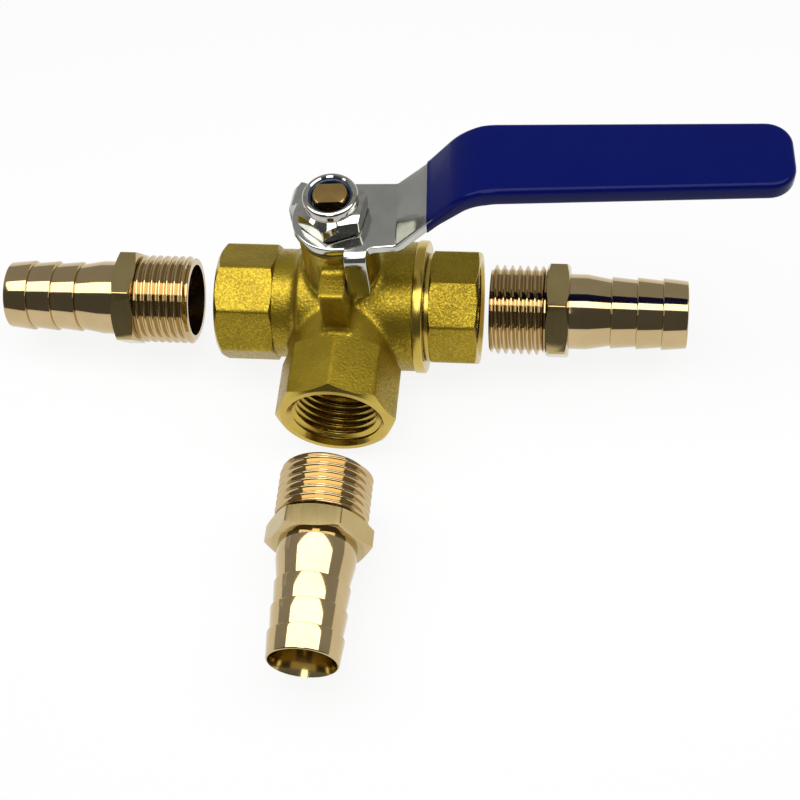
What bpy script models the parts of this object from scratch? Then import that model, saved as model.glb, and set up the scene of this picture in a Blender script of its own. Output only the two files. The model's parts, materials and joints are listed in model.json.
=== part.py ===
"""Three way ball valve with three hose tails: lever on a stem, L-bored ball, screwed end cap.

Millimetres in the sizes below, metres in the scene, +Z up. The ball's centre is the middle of the
design: the left port looks along -X, the right port along +X and the front port along -Y.
"""

import math

import bmesh
import bpy
import numpy as np
from mathutils import Euler, Matrix, Vector

MM = 0.001
WELD_DISTANCE = 1e-6
SHARP_ANGLE = math.radians(30.0)

# Fits between pieces, per side
FIT_GAP = 0.3
SEAL_GAP = 0.15

# Pipe thread of the ports and the hose tails
THREAD_MAJOR = 20.955
THREAD_MINOR = 18.631
THREAD_PITCH = 1.814
THREAD_CREST = 0.45
THREAD_LENGTH = 13.0

# Flow passage, ball and seats
FLOW_BORE = 12.4
BALL_BORE = 11.5
BALL_ROOM = 1.5
SEAT_WALL = 1.6
SEAT_SPACING = 0.4
SEAT_THICKNESS = 3.2
SEAT_HOLLOW = 0.64

# Ports with wrench flats
PORT_FLATS = 26.0
PORT_SIDES = 8
PORT_SPARE = 0.6
PORT_LEAD = 0.5
LEFT_WEB = 5.1
FRONT_WEB = 7.1
LEFT_FLATS_LENGTH = 13.8
FRONT_FLATS_LENGTH = 14.9
FLATS_CHAMFER = 1.1

# Body
CHAMBER_WALL = 3.3
CHAMBER_LEFT_WALL = 2.1
RIM_HEIGHT = 0.4
RIM_WIDTH = 2.4
ARM_DIAMETER = 26.3
ARM_SLOPE = 1.2
JOINT_OVERLAP = 1.0

# End cap, with a spigot in the body and a seal round it
SPIGOT_LENGTH = 7.1
CAP_GROOVE_WIDTH = 0.8
CAP_NECK_DIAMETER = 25.6
CAP_FLATS_LENGTH = 11.3
CAP_TURN = math.radians(10.2)
CAP_SEAL_SIZE = 1.0
CAP_SEAL_INSET = 0.8

# Stem, from the ball upwards
TANG_WIDTH = 4.4
TANG_LENGTH = 8.0
TANG_DEPTH = 2.9
STEM_DIAMETER = 8.0
FLANGE_DIAMETER = 11.0
FLANGE_HEIGHT = 2.0
WASHER_HEIGHT = 0.8
STEM_LAND = 5.2
O_RING_SIZE = 0.84
O_RING_GROOVE_DEPTH = 1.0
PACKING_WALL = 1.7
PACKING_HEIGHT = 2.8
GLAND_HEIGHT = 4.2
GLAND_SLOT_WIDTH = 2.0
GLAND_SLOT_DEPTH = 1.6
NECK_WALL = 2.3
STEM_FLATS = 5.1
STEM_THREAD = 7.8
STEM_END_DROP = 0.5

# Stop lug on the neck
LUG_WIDTH = 5.8
LUG_MARGIN = 3.9
LUG_DROP = 5.9

# Lever, in its own frame: it points along +X from the stem's axis
LEVER_TURN = math.radians(4.0)
LEVER_SWING = math.radians(90.0)
LEVER_LIFT = 1.5
LEVER_THICKNESS = 2.2
LEVER_REACH = 97.0
EYE_MARGIN = 0.8
WAIST_AT = 20.0
WAIST_HALF_WIDTH = 8.6
TIP_HALF_WIDTH = 7.6
TIP_CORNER = 4.5
RISE_AT = 14.3
RISE_ANGLE = math.radians(45.0)
RISE_HEIGHT = 17.2
RISE_BEND_RADIUS = 2.5
GRIP_BEND_RADIUS = 12.0
GRIP_DROOP = math.radians(1.8)
TAB_WIDTH = 4.9
REST_TAB_MARGIN = 1.2
SWUNG_TAB_MARGIN = 0.0
TAB_DROP = 11.9

# Sleeve on the grip: its start is measured along the rise
SLEEVE_WALL = 1.25
SLEEVE_START = 11.3
SLEEVE_TIP = 1.5
SLEEVE_ROUND = 1.3
SLEEVE_ROUND_STEPS = 2
SLEEVE_ROUND_ANGLE = math.radians(50.0)

# Lock nut and its nylon ring
NUT_FLATS = 14.0
NUT_SIDES = 6
NUT_TURN = math.radians(18.0)
NUT_HEX_HEIGHT = 5.2
NUT_COLLAR_HEIGHT = 2.4
NUT_COLLAR_WALL = 0.95
NUT_COLLAR_ROUND = 0.6
NUT_LIP = 0.5
INSERT_WALL = 0.75
INSERT_HEIGHT = 2.0

# Hose tails: rest distance from each port face, then sizes from the hexagon to the hose end
LEFT_TAIL_GAP = 7.0
RIGHT_TAIL_GAP = 2.5
FRONT_TAIL_GAP = 14.0
THREAD_WALL = 1.1
THREAD_RELIEF = 1.0
TAIL_MOUTH_DEPTH = 11.0
TAIL_BORE = 13.0
TAIL_HEX_FLATS = 21.0
TAIL_HEX_SIDES = 6
TAIL_HEX_LENGTH = 5.4
TAIL_HEX_CHAMFER = 0.5
BARB_LENGTH = 27.2
BARB_WALL = 1.9
BARB_FLARE = 0.4
BARB_NECK = 4.0
BARB_STEP = 0.45
BARB_COUNT = 3
BARB_PITCH = 5.9
BARB_LEAD = 1.0

# Sides of the round shapes
ROUND_STEPS = 36
SMALL_STEPS = 24
ARC_STEPS = 5

# Worked out from the sizes above: along each port, as distances from the ball's centre
SEAT_RADIUS = FLOW_BORE / 2 + SEAT_WALL
SEAT_FRONT = SEAT_RADIUS + SEAT_SPACING
SEAT_BACK = SEAT_FRONT + SEAT_THICKNESS
BALL_RADIUS = math.hypot(SEAT_FRONT + SEAT_HOLLOW, FLOW_BORE / 2) - FIT_GAP
CHAMBER_BORE_RADIUS = BALL_RADIUS + BALL_ROOM
CHAMBER_RADIUS = CHAMBER_BORE_RADIUS + CHAMBER_WALL
CHAMBER_LEFT = SEAT_FRONT + CHAMBER_LEFT_WALL
RIM_RADIUS = CHAMBER_RADIUS + RIM_HEIGHT
PASSAGE_START = SEAT_BACK + FIT_GAP
PORT_DEPTH = THREAD_LENGTH + PORT_SPARE
PORT_RADIUS = THREAD_MAJOR / 2 + FIT_GAP
LEFT_FACE = PASSAGE_START + LEFT_WEB + PORT_DEPTH
FRONT_FACE = PASSAGE_START + FRONT_WEB + PORT_DEPTH
RIM_FACE = PASSAGE_START + SPIGOT_LENGTH
CAP_FLATS_START = RIM_FACE + FIT_GAP + CAP_GROOVE_WIDTH
RIGHT_FACE = CAP_FLATS_START + CAP_FLATS_LENGTH
SPIGOT_RADIUS = CHAMBER_BORE_RADIUS - FIT_GAP

# Worked out up the stem
FLANGE_BOTTOM = BALL_RADIUS + FIT_GAP
FLANGE_TOP = FLANGE_BOTTOM + FLANGE_HEIGHT
WASHER_BOTTOM = FLANGE_TOP + FIT_GAP
WASHER_TOP = WASHER_BOTTOM + WASHER_HEIGHT
LAND_BOTTOM = WASHER_TOP + FIT_GAP
PACKING_FLOOR = LAND_BOTTOM + STEM_LAND
LOWER_PACKING = PACKING_FLOOR + FIT_GAP
UPPER_PACKING = LOWER_PACKING + PACKING_HEIGHT + FIT_GAP
GLAND_BOTTOM = UPPER_PACKING + PACKING_HEIGHT + FIT_GAP
NECK_TOP = GLAND_BOTTOM + GLAND_HEIGHT
STEM_RADIUS = STEM_DIAMETER / 2
STEM_HOLE_RADIUS = STEM_RADIUS + FIT_GAP
PACKING_RADIUS = STEM_HOLE_RADIUS + PACKING_WALL
PACKING_BORE_RADIUS = PACKING_RADIUS + FIT_GAP
NECK_RADIUS = PACKING_BORE_RADIUS + NECK_WALL

# Worked out for the handle
LEVER_BOTTOM = NECK_TOP + LEVER_LIFT + FIT_GAP
LEVER_TOP = LEVER_BOTTOM + LEVER_THICKNESS
REST_TAB_FACE = NECK_RADIUS + FIT_GAP + REST_TAB_MARGIN
SWUNG_TAB_FACE = NECK_RADIUS + FIT_GAP + SWUNG_TAB_MARGIN
EYE_RADIUS = NECK_RADIUS + EYE_MARGIN
LUG_TOP = LEVER_BOTTOM - LUG_DROP
LUG_FRONT = REST_TAB_FACE + LEVER_THICKNESS + LUG_MARGIN
SLEEVE_THICKNESS = LEVER_THICKNESS + 2 * SLEEVE_WALL
NUT_BOTTOM = LEVER_TOP + FIT_GAP
NUT_HEX_TOP = NUT_BOTTOM + NUT_HEX_HEIGHT
NUT_TOP = NUT_HEX_TOP + NUT_COLLAR_HEIGHT
NUT_HOLE_RADIUS = STEM_THREAD / 2 + FIT_GAP
INSERT_RADIUS = NUT_HOLE_RADIUS + INSERT_WALL
NUT_COLLAR_RADIUS = INSERT_RADIUS + FIT_GAP + NUT_COLLAR_WALL
STEM_TOP = NUT_TOP - STEM_END_DROP

# Worked out for the hose tails
TAIL_MOUTH_RADIUS = THREAD_MINOR / 2 - THREAD_WALL
BARB_RADIUS = TAIL_BORE / 2 + BARB_WALL
BARB_ROOT_RADIUS = BARB_RADIUS + BARB_FLARE


def clear_scene():
    """Remove every object that the scene starts with."""
    for item in list(bpy.data.objects):
        bpy.data.objects.remove(item, do_unlink=True)


def new_collection(name):
    collection = bpy.data.collections.new(name)
    bpy.context.scene.collection.children.link(collection)
    return collection


def new_material(name, colour, roughness, metallic):
    material = bpy.data.materials.new(name)
    material.use_nodes = True
    shader = material.node_tree.nodes["Principled BSDF"]
    shader.inputs["Base Color"].default_value = (*colour, 1.0)
    shader.inputs["Roughness"].default_value = roughness
    shader.inputs["Metallic"].default_value = metallic
    return material


def new_empty(name, parent=None, turn=0.0):
    """An empty at its parent's origin, turned about Z: the axis that moving pieces hang on."""
    empty = bpy.data.objects.new(name, None)
    empty.rotation_euler = Euler((0.0, 0.0, turn))
    empty.parent = parent
    parts.objects.link(empty)
    return empty


def add_object(name, mesh, parent, place=None):
    """Link a mesh as a helper shape; make_part turns a helper into a visible part."""
    item = bpy.data.objects.new(name, mesh)
    item.parent = parent
    if place is not None:
        item.matrix_local = place
    cutters.objects.link(item)
    item.hide_render = True
    item.display_type = "WIRE"
    return item


def make_part(item, material):
    """Move a finished shape to the parts' collection and give it its material."""
    cutters.objects.unlink(item)
    parts.objects.link(item)
    item.hide_render = False
    item.display_type = "TEXTURED"
    item.data.materials.append(material)
    item.data.shade_smooth()
    item.data.set_sharp_from_angle(angle=SHARP_ANGLE)
    return item


def facing(direction, turn=0.0):
    """Placement that points a shape's +Z along a direction, after a turn about its own axis."""
    quaternion = Vector((0.0, 0.0, 1.0)).rotation_difference(Vector(direction))
    return quaternion.to_matrix().to_4x4() @ Matrix.Rotation(turn, 4, "Z")


def turned(name, profile, parent, place=None, closed=False, steps=ROUND_STEPS):
    """Turn a profile of (radius, height) about Z; it runs down its outer side."""
    points = [(radius * MM, 0.0, height * MM) for radius, height in profile]
    edges = [(i, i + 1) for i in range(len(points) - 1)]
    if closed:
        edges.append((len(points) - 1, 0))
    mesh = bpy.data.meshes.new(name)
    mesh.from_pydata(points, edges, [])
    item = add_object(name, mesh, parent, place)
    screw = item.modifiers.new("Turn", "SCREW")
    screw.steps = steps
    screw.render_steps = steps
    screw.use_merge_vertices = True
    screw.merge_threshold = WELD_DISTANCE
    return item


def ring(name, outer, inner, bottom, top, parent, place=None, steps=ROUND_STEPS):
    profile = [(outer, top), (outer, bottom), (inner, bottom), (inner, top)]
    return turned(name, profile, parent, place, closed=True, steps=steps)


def rod(name, radius, bottom, top, parent, place=None, steps=ROUND_STEPS):
    return turned(name, [(0, top), (radius, top), (radius, bottom), (0, bottom)], parent, place, steps=steps)


def prism(name, sides, across_flats, bottom, top, parent, place=None):
    """A prism along Z with one corner on its X axis."""
    corner = across_flats / 2 / math.cos(math.pi / sides) * MM
    shape = bmesh.new()
    bmesh.ops.create_cone(
        shape, cap_ends=True, segments=sides, radius1=corner, radius2=corner, depth=(top - bottom) * MM
    )
    bmesh.ops.rotate(shape, verts=shape.verts, matrix=Matrix.Rotation(math.pi / 2, 3, "Z"))
    bmesh.ops.translate(shape, verts=shape.verts, vec=(0.0, 0.0, (top + bottom) / 2 * MM))
    mesh = bpy.data.meshes.new(name)
    shape.to_mesh(mesh)
    shape.free()
    return add_object(name, mesh, parent, place)


def block(name, low, high, parent, place=None):
    """A box between two corners."""
    low, high = Vector(low), Vector(high)
    shape = bmesh.new()
    bmesh.ops.create_cube(shape, size=MM)
    bmesh.ops.scale(shape, verts=shape.verts, vec=high - low)
    bmesh.ops.translate(shape, verts=shape.verts, vec=(high + low) / 2 * MM)
    mesh = bpy.data.meshes.new(name)
    shape.to_mesh(mesh)
    shape.free()
    return add_object(name, mesh, parent, place)


def plate(name, outline, low, high, parent, place=None):
    """A flat outline of (x, y) between two heights, made a welded mesh so that it can be cut."""
    curve = bpy.data.curves.new(name, "CURVE")
    curve.dimensions = "2D"
    curve.fill_mode = "BOTH"
    curve.extrude = (high - low) / 2 * MM
    spline = curve.splines.new("POLY")
    spline.points.add(len(outline) - 1)
    for point, (x, y) in zip(spline.points, outline):
        point.co = (x * MM, y * MM, 0.0, 1.0)
    spline.use_cyclic_u = True
    guide = bpy.data.objects.new(name + "_outline", curve)
    cutters.objects.link(guide)
    mesh = bpy.data.meshes.new_from_object(guide.evaluated_get(bpy.context.evaluated_depsgraph_get()))
    bpy.data.objects.remove(guide, do_unlink=True)
    shape = bmesh.new()
    shape.from_mesh(mesh)
    bmesh.ops.remove_doubles(shape, verts=shape.verts, dist=WELD_DISTANCE)
    bmesh.ops.recalc_face_normals(shape, faces=shape.faces)
    bmesh.ops.translate(shape, verts=shape.verts, vec=(0.0, 0.0, (high + low) / 2 * MM))
    shape.to_mesh(mesh)
    shape.free()
    return add_object(name, mesh, parent, place)


def combine(item, other, operation):
    modifier = item.modifiers.new(other.name, "BOOLEAN")
    modifier.operation = operation
    modifier.solver = "EXACT"
    modifier.object = other


def join(item, *others):
    for other in others:
        combine(item, other, "UNION")


def cut(item, *others):
    for other in others:
        combine(item, other, "DIFFERENCE")


def keep_inside(item, other):
    combine(item, other, "INTERSECT")


def arc(centre, radius, start, end, steps=ARC_STEPS):
    """Points on an arc from one angle to another, both ends included."""
    angles = np.linspace(start, end, steps + 1)
    return [(centre[0] + radius * math.cos(a), centre[1] + radius * math.sin(a)) for a in angles]


def chamfered_flats(name, sides, across_flats, bottom, top, chamfer, parent, place=None):
    """A prism whose corners are turned off at both ends."""
    corner = across_flats / 2 / math.cos(math.pi / sides) + JOINT_OVERLAP
    end = across_flats / 2 - chamfer / 2
    slope = chamfer + JOINT_OVERLAP
    shape = prism(name, sides, across_flats, bottom, top, parent, place)
    limit = turned(
        name + "_limit",
        [(0, top), (end, top), (corner, top - slope), (corner, bottom + slope), (end, bottom), (0, bottom)],
        parent,
        place,
    )
    keep_inside(shape, limit)
    return shape


def port_bore_profile(face):
    """Turned cut from a port's mouth down to the seat pocket; heights are distances from the ball."""
    return [
        (PORT_RADIUS + PORT_LEAD + FIT_GAP, face + FIT_GAP),
        (PORT_RADIUS, face - PORT_LEAD),
        (PORT_RADIUS, face - PORT_DEPTH),
        (FLOW_BORE / 2, face - PORT_DEPTH),
    ]


def seat_pocket_profile():
    """Lower part of the same cut, into the chamber."""
    pocket = SEAT_RADIUS + FIT_GAP
    return [
        (FLOW_BORE / 2, PASSAGE_START),
        (pocket, PASSAGE_START),
        (pocket, SEAT_FRONT - FIT_GAP),
    ]


def build_body(parent):
    """Forged body: chamber with a turned rim, two flatted ports, stem neck and stop lug."""
    left, front, right = (-1, 0, 0), (0, -1, 0), (1, 0, 0)
    arm = ARM_DIAMETER / 2
    left_flats_end = LEFT_FACE - LEFT_FLATS_LENGTH
    front_flats_end = FRONT_FACE - FRONT_FLATS_LENGTH
    body = turned(
        "valve_body",
        [
            (0, RIM_FACE),
            (RIM_RADIUS, RIM_FACE),
            (RIM_RADIUS, RIM_FACE - RIM_WIDTH),
            (CHAMBER_RADIUS, RIM_FACE - RIM_WIDTH),
            (CHAMBER_RADIUS, -CHAMBER_LEFT),
            (arm, -CHAMBER_LEFT - ARM_SLOPE),
            (arm, -left_flats_end - JOINT_OVERLAP),
            (0, -left_flats_end - JOINT_OVERLAP),
        ],
        parent,
        facing(right),
    )
    join(
        body,
        chamfered_flats(
            "left_flats",
            PORT_SIDES,
            PORT_FLATS,
            left_flats_end,
            LEFT_FACE,
            FLATS_CHAMFER,
            parent,
            facing(left),
        ),
        rod("front_arm", arm, 0, front_flats_end + JOINT_OVERLAP, parent, facing(front)),
        chamfered_flats(
            "front_flats",
            PORT_SIDES,
            PORT_FLATS,
            front_flats_end,
            FRONT_FACE,
            FLATS_CHAMFER,
            parent,
            facing(front),
        ),
        rod("stem_neck", NECK_RADIUS, 0, NECK_TOP, parent),
        block("stop_lug", (-LUG_WIDTH / 2, -LUG_FRONT, 0), (LUG_WIDTH / 2, 0, LUG_TOP), parent),
    )
    past_rim = RIM_FACE + JOINT_OVERLAP
    chamber = turned(
        "chamber_bore",
        [(0, LEFT_FACE + FIT_GAP)]
        + port_bore_profile(LEFT_FACE)
        + seat_pocket_profile()
        + [
            (CHAMBER_BORE_RADIUS, SEAT_FRONT - FIT_GAP),
            (CHAMBER_BORE_RADIUS, -past_rim),
            (0, -past_rim),
        ],
        parent,
        facing(left),
    )
    front_bore = turned(
        "front_bore",
        [(0, FRONT_FACE + FIT_GAP)]
        + port_bore_profile(FRONT_FACE)
        + seat_pocket_profile()
        + [(0, SEAT_FRONT - FIT_GAP)],
        parent,
        facing(front),
    )
    flange_hole = FLANGE_DIAMETER / 2 + FIT_GAP
    stem_bore = turned(
        "stem_bore",
        [
            (0, NECK_TOP + JOINT_OVERLAP),
            (PACKING_BORE_RADIUS, NECK_TOP + JOINT_OVERLAP),
            (PACKING_BORE_RADIUS, PACKING_FLOOR),
            (STEM_HOLE_RADIUS, PACKING_FLOOR),
            (STEM_HOLE_RADIUS, LAND_BOTTOM),
            (flange_hole, LAND_BOTTOM),
            (flange_hole, 0),
            (0, 0),
        ],
        parent,
        steps=SMALL_STEPS,
    )
    cut(body, chamber, front_bore, stem_bore)
    return make_part(body, brass_cast)


def build_end_cap(parent):
    """Right port: octagon, turned groove and spigot, with its seal in a groove of the spigot."""
    place = facing((1, 0, 0))
    neck = CAP_NECK_DIAMETER / 2
    seal_high = RIGHT_FACE - PORT_DEPTH - CAP_SEAL_INSET
    seal_low = seal_high - CAP_SEAL_SIZE - 2 * FIT_GAP
    seal_outer = SPIGOT_RADIUS + SEAL_GAP
    seal_inner = seal_outer - CAP_SEAL_SIZE
    groove = seal_inner - FIT_GAP
    cap = turned(
        "end_cap",
        [
            (0, CAP_FLATS_START + JOINT_OVERLAP),
            (neck, CAP_FLATS_START + JOINT_OVERLAP),
            (neck, RIM_FACE + FIT_GAP),
            (SPIGOT_RADIUS, RIM_FACE + FIT_GAP),
            (SPIGOT_RADIUS, seal_high),
            (groove, seal_high),
            (groove, seal_low),
            (SPIGOT_RADIUS, seal_low),
            (SPIGOT_RADIUS, PASSAGE_START),
            (0, PASSAGE_START),
        ],
        parent,
        place,
    )
    flats = chamfered_flats(
        "cap_flats",
        PORT_SIDES,
        PORT_FLATS,
        CAP_FLATS_START,
        RIGHT_FACE,
        FLATS_CHAMFER,
        parent,
        facing((1, 0, 0), CAP_TURN),
    )
    join(cap, flats)
    low_end = PASSAGE_START - JOINT_OVERLAP
    bore = turned(
        "cap_bore",
        [(0, RIGHT_FACE + FIT_GAP)]
        + port_bore_profile(RIGHT_FACE)
        + [(FLOW_BORE / 2, low_end), (0, low_end)],
        parent,
        place,
    )
    cut(cap, bore)
    make_part(cap, brass_cast)
    seal = ring("cap_seal", seal_outer, seal_inner, seal_low + FIT_GAP, seal_high - FIT_GAP, parent, place)
    make_part(seal, ptfe)


def build_seat(name, direction, parent):
    """Seat ring with a hollow that follows the ball."""
    place = facing(direction)
    seat = ring(name, SEAT_RADIUS, FLOW_BORE / 2, SEAT_FRONT, SEAT_BACK, parent, place, SMALL_STEPS)
    hollow = sphere(name + "_hollow", BALL_RADIUS + FIT_GAP, parent)
    cut(seat, hollow)
    make_part(seat, ptfe)


def sphere(name, radius, parent):
    """A ball turned from a half circle."""
    half_turn = arc((0, 0), radius, math.pi / 2, -math.pi / 2, SMALL_STEPS // 2)
    profile = [(0, radius)] + half_turn[1:-1] + [(0, -radius)]
    return turned(name, profile, parent, steps=SMALL_STEPS)


def build_ball(parent):
    """Ball with an L-shaped bore, front and left as the lever rests, and a slot for the stem's tang."""
    ball = sphere("ball", BALL_RADIUS, parent)
    through = BALL_RADIUS + JOINT_OVERLAP
    bore = BALL_BORE / 2
    cut(
        ball,
        rod("ball_bore_front", bore, -bore, through, parent, facing((0, -1, 0))),
        rod("ball_bore_left", bore, 0, through, parent, facing((-1, 0, 0))),
        block(
            "tang_slot",
            (-through, -TANG_WIDTH / 2 - FIT_GAP, BALL_RADIUS - TANG_DEPTH - FIT_GAP),
            (through, TANG_WIDTH / 2 + FIT_GAP, through),
            parent,
        ),
    )
    make_part(ball, chrome)


def build_stem(parent):
    """Stem with tang, flange, O-ring groove and a flatted threaded end."""
    groove_middle = (LAND_BOTTOM + PACKING_FLOOR) / 2
    groove_half = O_RING_SIZE / 2 + FIT_GAP
    groove = STEM_RADIUS - O_RING_GROOVE_DEPTH
    shoulder = LEVER_BOTTOM - FIT_GAP
    stem = turned(
        "stem",
        [
            (0, STEM_TOP),
            (STEM_THREAD / 2, STEM_TOP),
            (STEM_THREAD / 2, shoulder),
            (STEM_RADIUS, shoulder),
            (STEM_RADIUS, groove_middle + groove_half),
            (groove, groove_middle + groove_half),
            (groove, groove_middle - groove_half),
            (STEM_RADIUS, groove_middle - groove_half),
            (STEM_RADIUS, FLANGE_TOP),
            (FLANGE_DIAMETER / 2, FLANGE_TOP),
            (FLANGE_DIAMETER / 2, FLANGE_BOTTOM),
            (0, FLANGE_BOTTOM),
        ],
        parent,
        steps=SMALL_STEPS,
    )
    half_tang = Vector((TANG_LENGTH, TANG_WIDTH)) / 2
    tang_bottom = BALL_RADIUS - TANG_DEPTH
    tang_top = FLANGE_BOTTOM + JOINT_OVERLAP
    join(stem, block("stem_tang", (*-half_tang, tang_bottom), (*half_tang, tang_top), parent))
    past = STEM_DIAMETER
    for side in (-1, 1):
        near, far = sorted((side * STEM_FLATS / 2, side * past))
        low, high = (-past, near, shoulder), (past, far, STEM_TOP + JOINT_OVERLAP)
        cut(stem, block(f"stem_flat_{side}", low, high, parent))
    make_part(stem, brass_turned)
    middle = (groove + SEAL_GAP + O_RING_SIZE / 2, groove_middle)
    section = arc(middle, O_RING_SIZE / 2, math.pi, -math.pi, 2 * ARC_STEPS)[:-1]
    make_part(turned("stem_o_ring", section, parent, closed=True, steps=SMALL_STEPS), rubber)


def build_stem_packing(parent):
    """Washer, packing rings and the slotted gland nut round the stem."""
    flange = FLANGE_DIAMETER / 2
    for name, outer, bottom, height, material in (
        ("thrust_washer", flange, WASHER_BOTTOM, WASHER_HEIGHT, ptfe),
        ("packing_ring_lower", PACKING_RADIUS, LOWER_PACKING, PACKING_HEIGHT, ptfe),
        ("packing_ring_upper", PACKING_RADIUS, UPPER_PACKING, PACKING_HEIGHT, ptfe),
    ):
        piece = ring(name, outer, STEM_HOLE_RADIUS, bottom, bottom + height, parent, steps=SMALL_STEPS)
        make_part(piece, material)
    gland = ring(
        "gland_nut", PACKING_RADIUS, STEM_HOLE_RADIUS, GLAND_BOTTOM, NECK_TOP, parent, steps=SMALL_STEPS
    )
    slot_half = GLAND_SLOT_WIDTH / 2
    slot = block(
        "gland_slot",
        (-slot_half, -NECK_RADIUS, NECK_TOP - GLAND_SLOT_DEPTH),
        (slot_half, NECK_RADIUS, NECK_TOP + JOINT_OVERLAP),
        parent,
    )
    cut(gland, slot)
    make_part(gland, brass_turned)


def lever_line():
    """Corners of the strip's middle line as (x, z): eye end, first bend, second bend and tip."""
    base = (LEVER_BOTTOM + LEVER_TOP) / 2
    second = RISE_AT + RISE_HEIGHT / math.tan(RISE_ANGLE)
    tip_height = base + RISE_HEIGHT - (LEVER_REACH - second) * math.tan(GRIP_DROOP)
    return [
        Vector((-2 * EYE_RADIUS, base)),
        Vector((RISE_AT, base)),
        Vector((second, base + RISE_HEIGHT)),
        Vector((LEVER_REACH, tip_height)),
    ]


def bent_line(offset, tip_growth=0.0):
    """The strip's line moved sideways by an offset, with its two bends rounded."""
    start, first, second, tip = lever_line()
    along = (tip - second).normalized()
    tip = tip + along * tip_growth
    runs = [(first - start).normalized(), (second - first).normalized(), along]
    normals = [Vector((-run.y, run.x)) for run in runs]
    points = [start + normals[0] * offset]
    bends = ((first, 0, RISE_BEND_RADIUS, 1), (second, 1, GRIP_BEND_RADIUS, -1))
    for corner, run, radius, side in bends:
        bisector = (normals[run] + normals[run + 1]).normalized()
        reach = radius / bisector.dot(normals[run])
        centre = corner + bisector * reach * side
        angles = [math.atan2(-side * normal.y, -side * normal.x) for normal in normals[run : run + 2]]
        points += [Vector(point) for point in arc(centre, radius - side * offset, *angles)]
    points.append(tip + normals[2] * offset)
    return points


def strip_outline(thickness, tip_growth=0.0):
    """Side view of a bent strip."""
    upper = bent_line(thickness / 2, tip_growth)
    lower = bent_line(-thickness / 2, tip_growth)
    return upper + lower[::-1]


def plan_outline(growth, tip_growth):
    """Top view of the strip: round eye, taper to the waist, then to a tip with rounded corners."""
    eye = EYE_RADIUS + growth
    waist = WAIST_HALF_WIDTH + growth
    half_tip = TIP_HALF_WIDTH + growth
    reach = LEVER_REACH + tip_growth
    corner = TIP_CORNER + growth
    distance = math.hypot(WAIST_AT, waist)
    tangent = math.atan2(waist, WAIST_AT) + math.acos(min(1.0, eye / distance))
    outline = arc((0, 0), eye, tangent, 2 * math.pi - tangent, 4 * ARC_STEPS)
    outline.append((WAIST_AT, -waist))
    outline += arc((reach - corner, -half_tip + corner), corner, -math.pi / 2, 0)
    outline += arc((reach - corner, half_tip - corner), corner, 0, math.pi / 2)
    outline.append((WAIST_AT, waist))
    return outline


def strip(name, thickness, growth, tip_growth, parent):
    """A bent strip: its side view kept inside its top view."""
    width = 2 * EYE_RADIUS
    on_edge = Matrix.Rotation(math.pi / 2, 4, "X")
    side = plate(name, strip_outline(thickness, tip_growth + growth), -width, width, parent, on_edge)
    top = LEVER_TOP + 2 * RISE_HEIGHT
    plan = plate(name + "_plan", plan_outline(growth, tip_growth), 0, top, parent)
    keep_inside(side, plan)
    return side


def stop_tab(name, face, mirror, turn, parent):
    """Flat root on the eye and the tab bent down from it, which meets the lug at one end of the swing."""
    near = (LUG_WIDTH / 2 + FIT_GAP - face * math.sin(LEVER_TURN)) / math.cos(LEVER_TURN)
    round_end = TAB_WIDTH / 2
    bottom = LEVER_BOTTOM - TAB_DROP
    top = [(near + TAB_WIDTH, LEVER_TOP), (near, LEVER_TOP)]
    tab = top + arc((near + round_end, bottom + round_end), round_end, math.pi, 2 * math.pi)
    root = top + [(near, LEVER_BOTTOM), (near + TAB_WIDTH, LEVER_BOTTOM)]
    if mirror:
        tab, root = ([(-x, z) for x, z in reversed(shape)] for shape in (tab, root))
    placed = Matrix.Rotation(turn, 4, "Z") @ Matrix.Rotation(math.pi / 2, 4, "X")
    outer = face + LEVER_THICKNESS
    return (
        plate(name + "_root", root, 0.0, outer, parent, placed),
        plate(name, tab, face, outer, parent, placed),
    )


def build_lever(parent):
    """Bent lever with a flatted eye and two stop tabs, one for each end of its swing."""
    lever = strip("lever", LEVER_THICKNESS, 0.0, 0.0, parent)
    swung = -LEVER_SWING - 2 * LEVER_TURN
    join(lever, *stop_tab("rest_tab", REST_TAB_FACE, False, 0.0, parent))
    join(lever, *stop_tab("swung_tab", SWUNG_TAB_FACE, True, swung, parent))
    below, above = LEVER_BOTTOM - JOINT_OVERLAP, LEVER_TOP + JOINT_OVERLAP
    hole = rod("lever_hole", NUT_HOLE_RADIUS, below, above, parent, steps=SMALL_STEPS)
    past = STEM_DIAMETER
    half_flats = STEM_FLATS / 2 + FIT_GAP
    low, high = (-past, -half_flats, below - past), (past, half_flats, above + past)
    keep_inside(hole, block("lever_hole_flats", low, high, parent))
    cut(lever, hole)
    make_part(lever, steel)


def build_sleeve(parent):
    """Dipped sleeve round the grip end, closed at the tip, hollow where the strip goes in."""
    tip = SLEEVE_TIP + FIT_GAP
    sleeve = strip("grip_sleeve", SLEEVE_THICKNESS, SLEEVE_WALL, tip, parent)
    _, first, second, _ = lever_line()
    at = first + (second - first).normalized() * SLEEVE_START
    square_cut = Matrix.Translation((at.x * MM, 0.0, at.y * MM)) @ Matrix.Rotation(-RISE_ANGLE, 4, "Y")
    reach = 4 * EYE_RADIUS
    cut(sleeve, block("sleeve_start", (-reach, -reach, -reach), (0, reach, reach), parent, square_cut))
    soften = sleeve.modifiers.new("Rounded", "BEVEL")
    soften.width = SLEEVE_ROUND * MM
    soften.segments = SLEEVE_ROUND_STEPS
    soften.limit_method = "ANGLE"
    soften.angle_limit = SLEEVE_ROUND_ANGLE
    pocket = strip("sleeve_pocket", LEVER_THICKNESS + 2 * FIT_GAP, FIT_GAP, FIT_GAP, parent)
    cut(sleeve, pocket)
    make_part(sleeve, vinyl)


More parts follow.
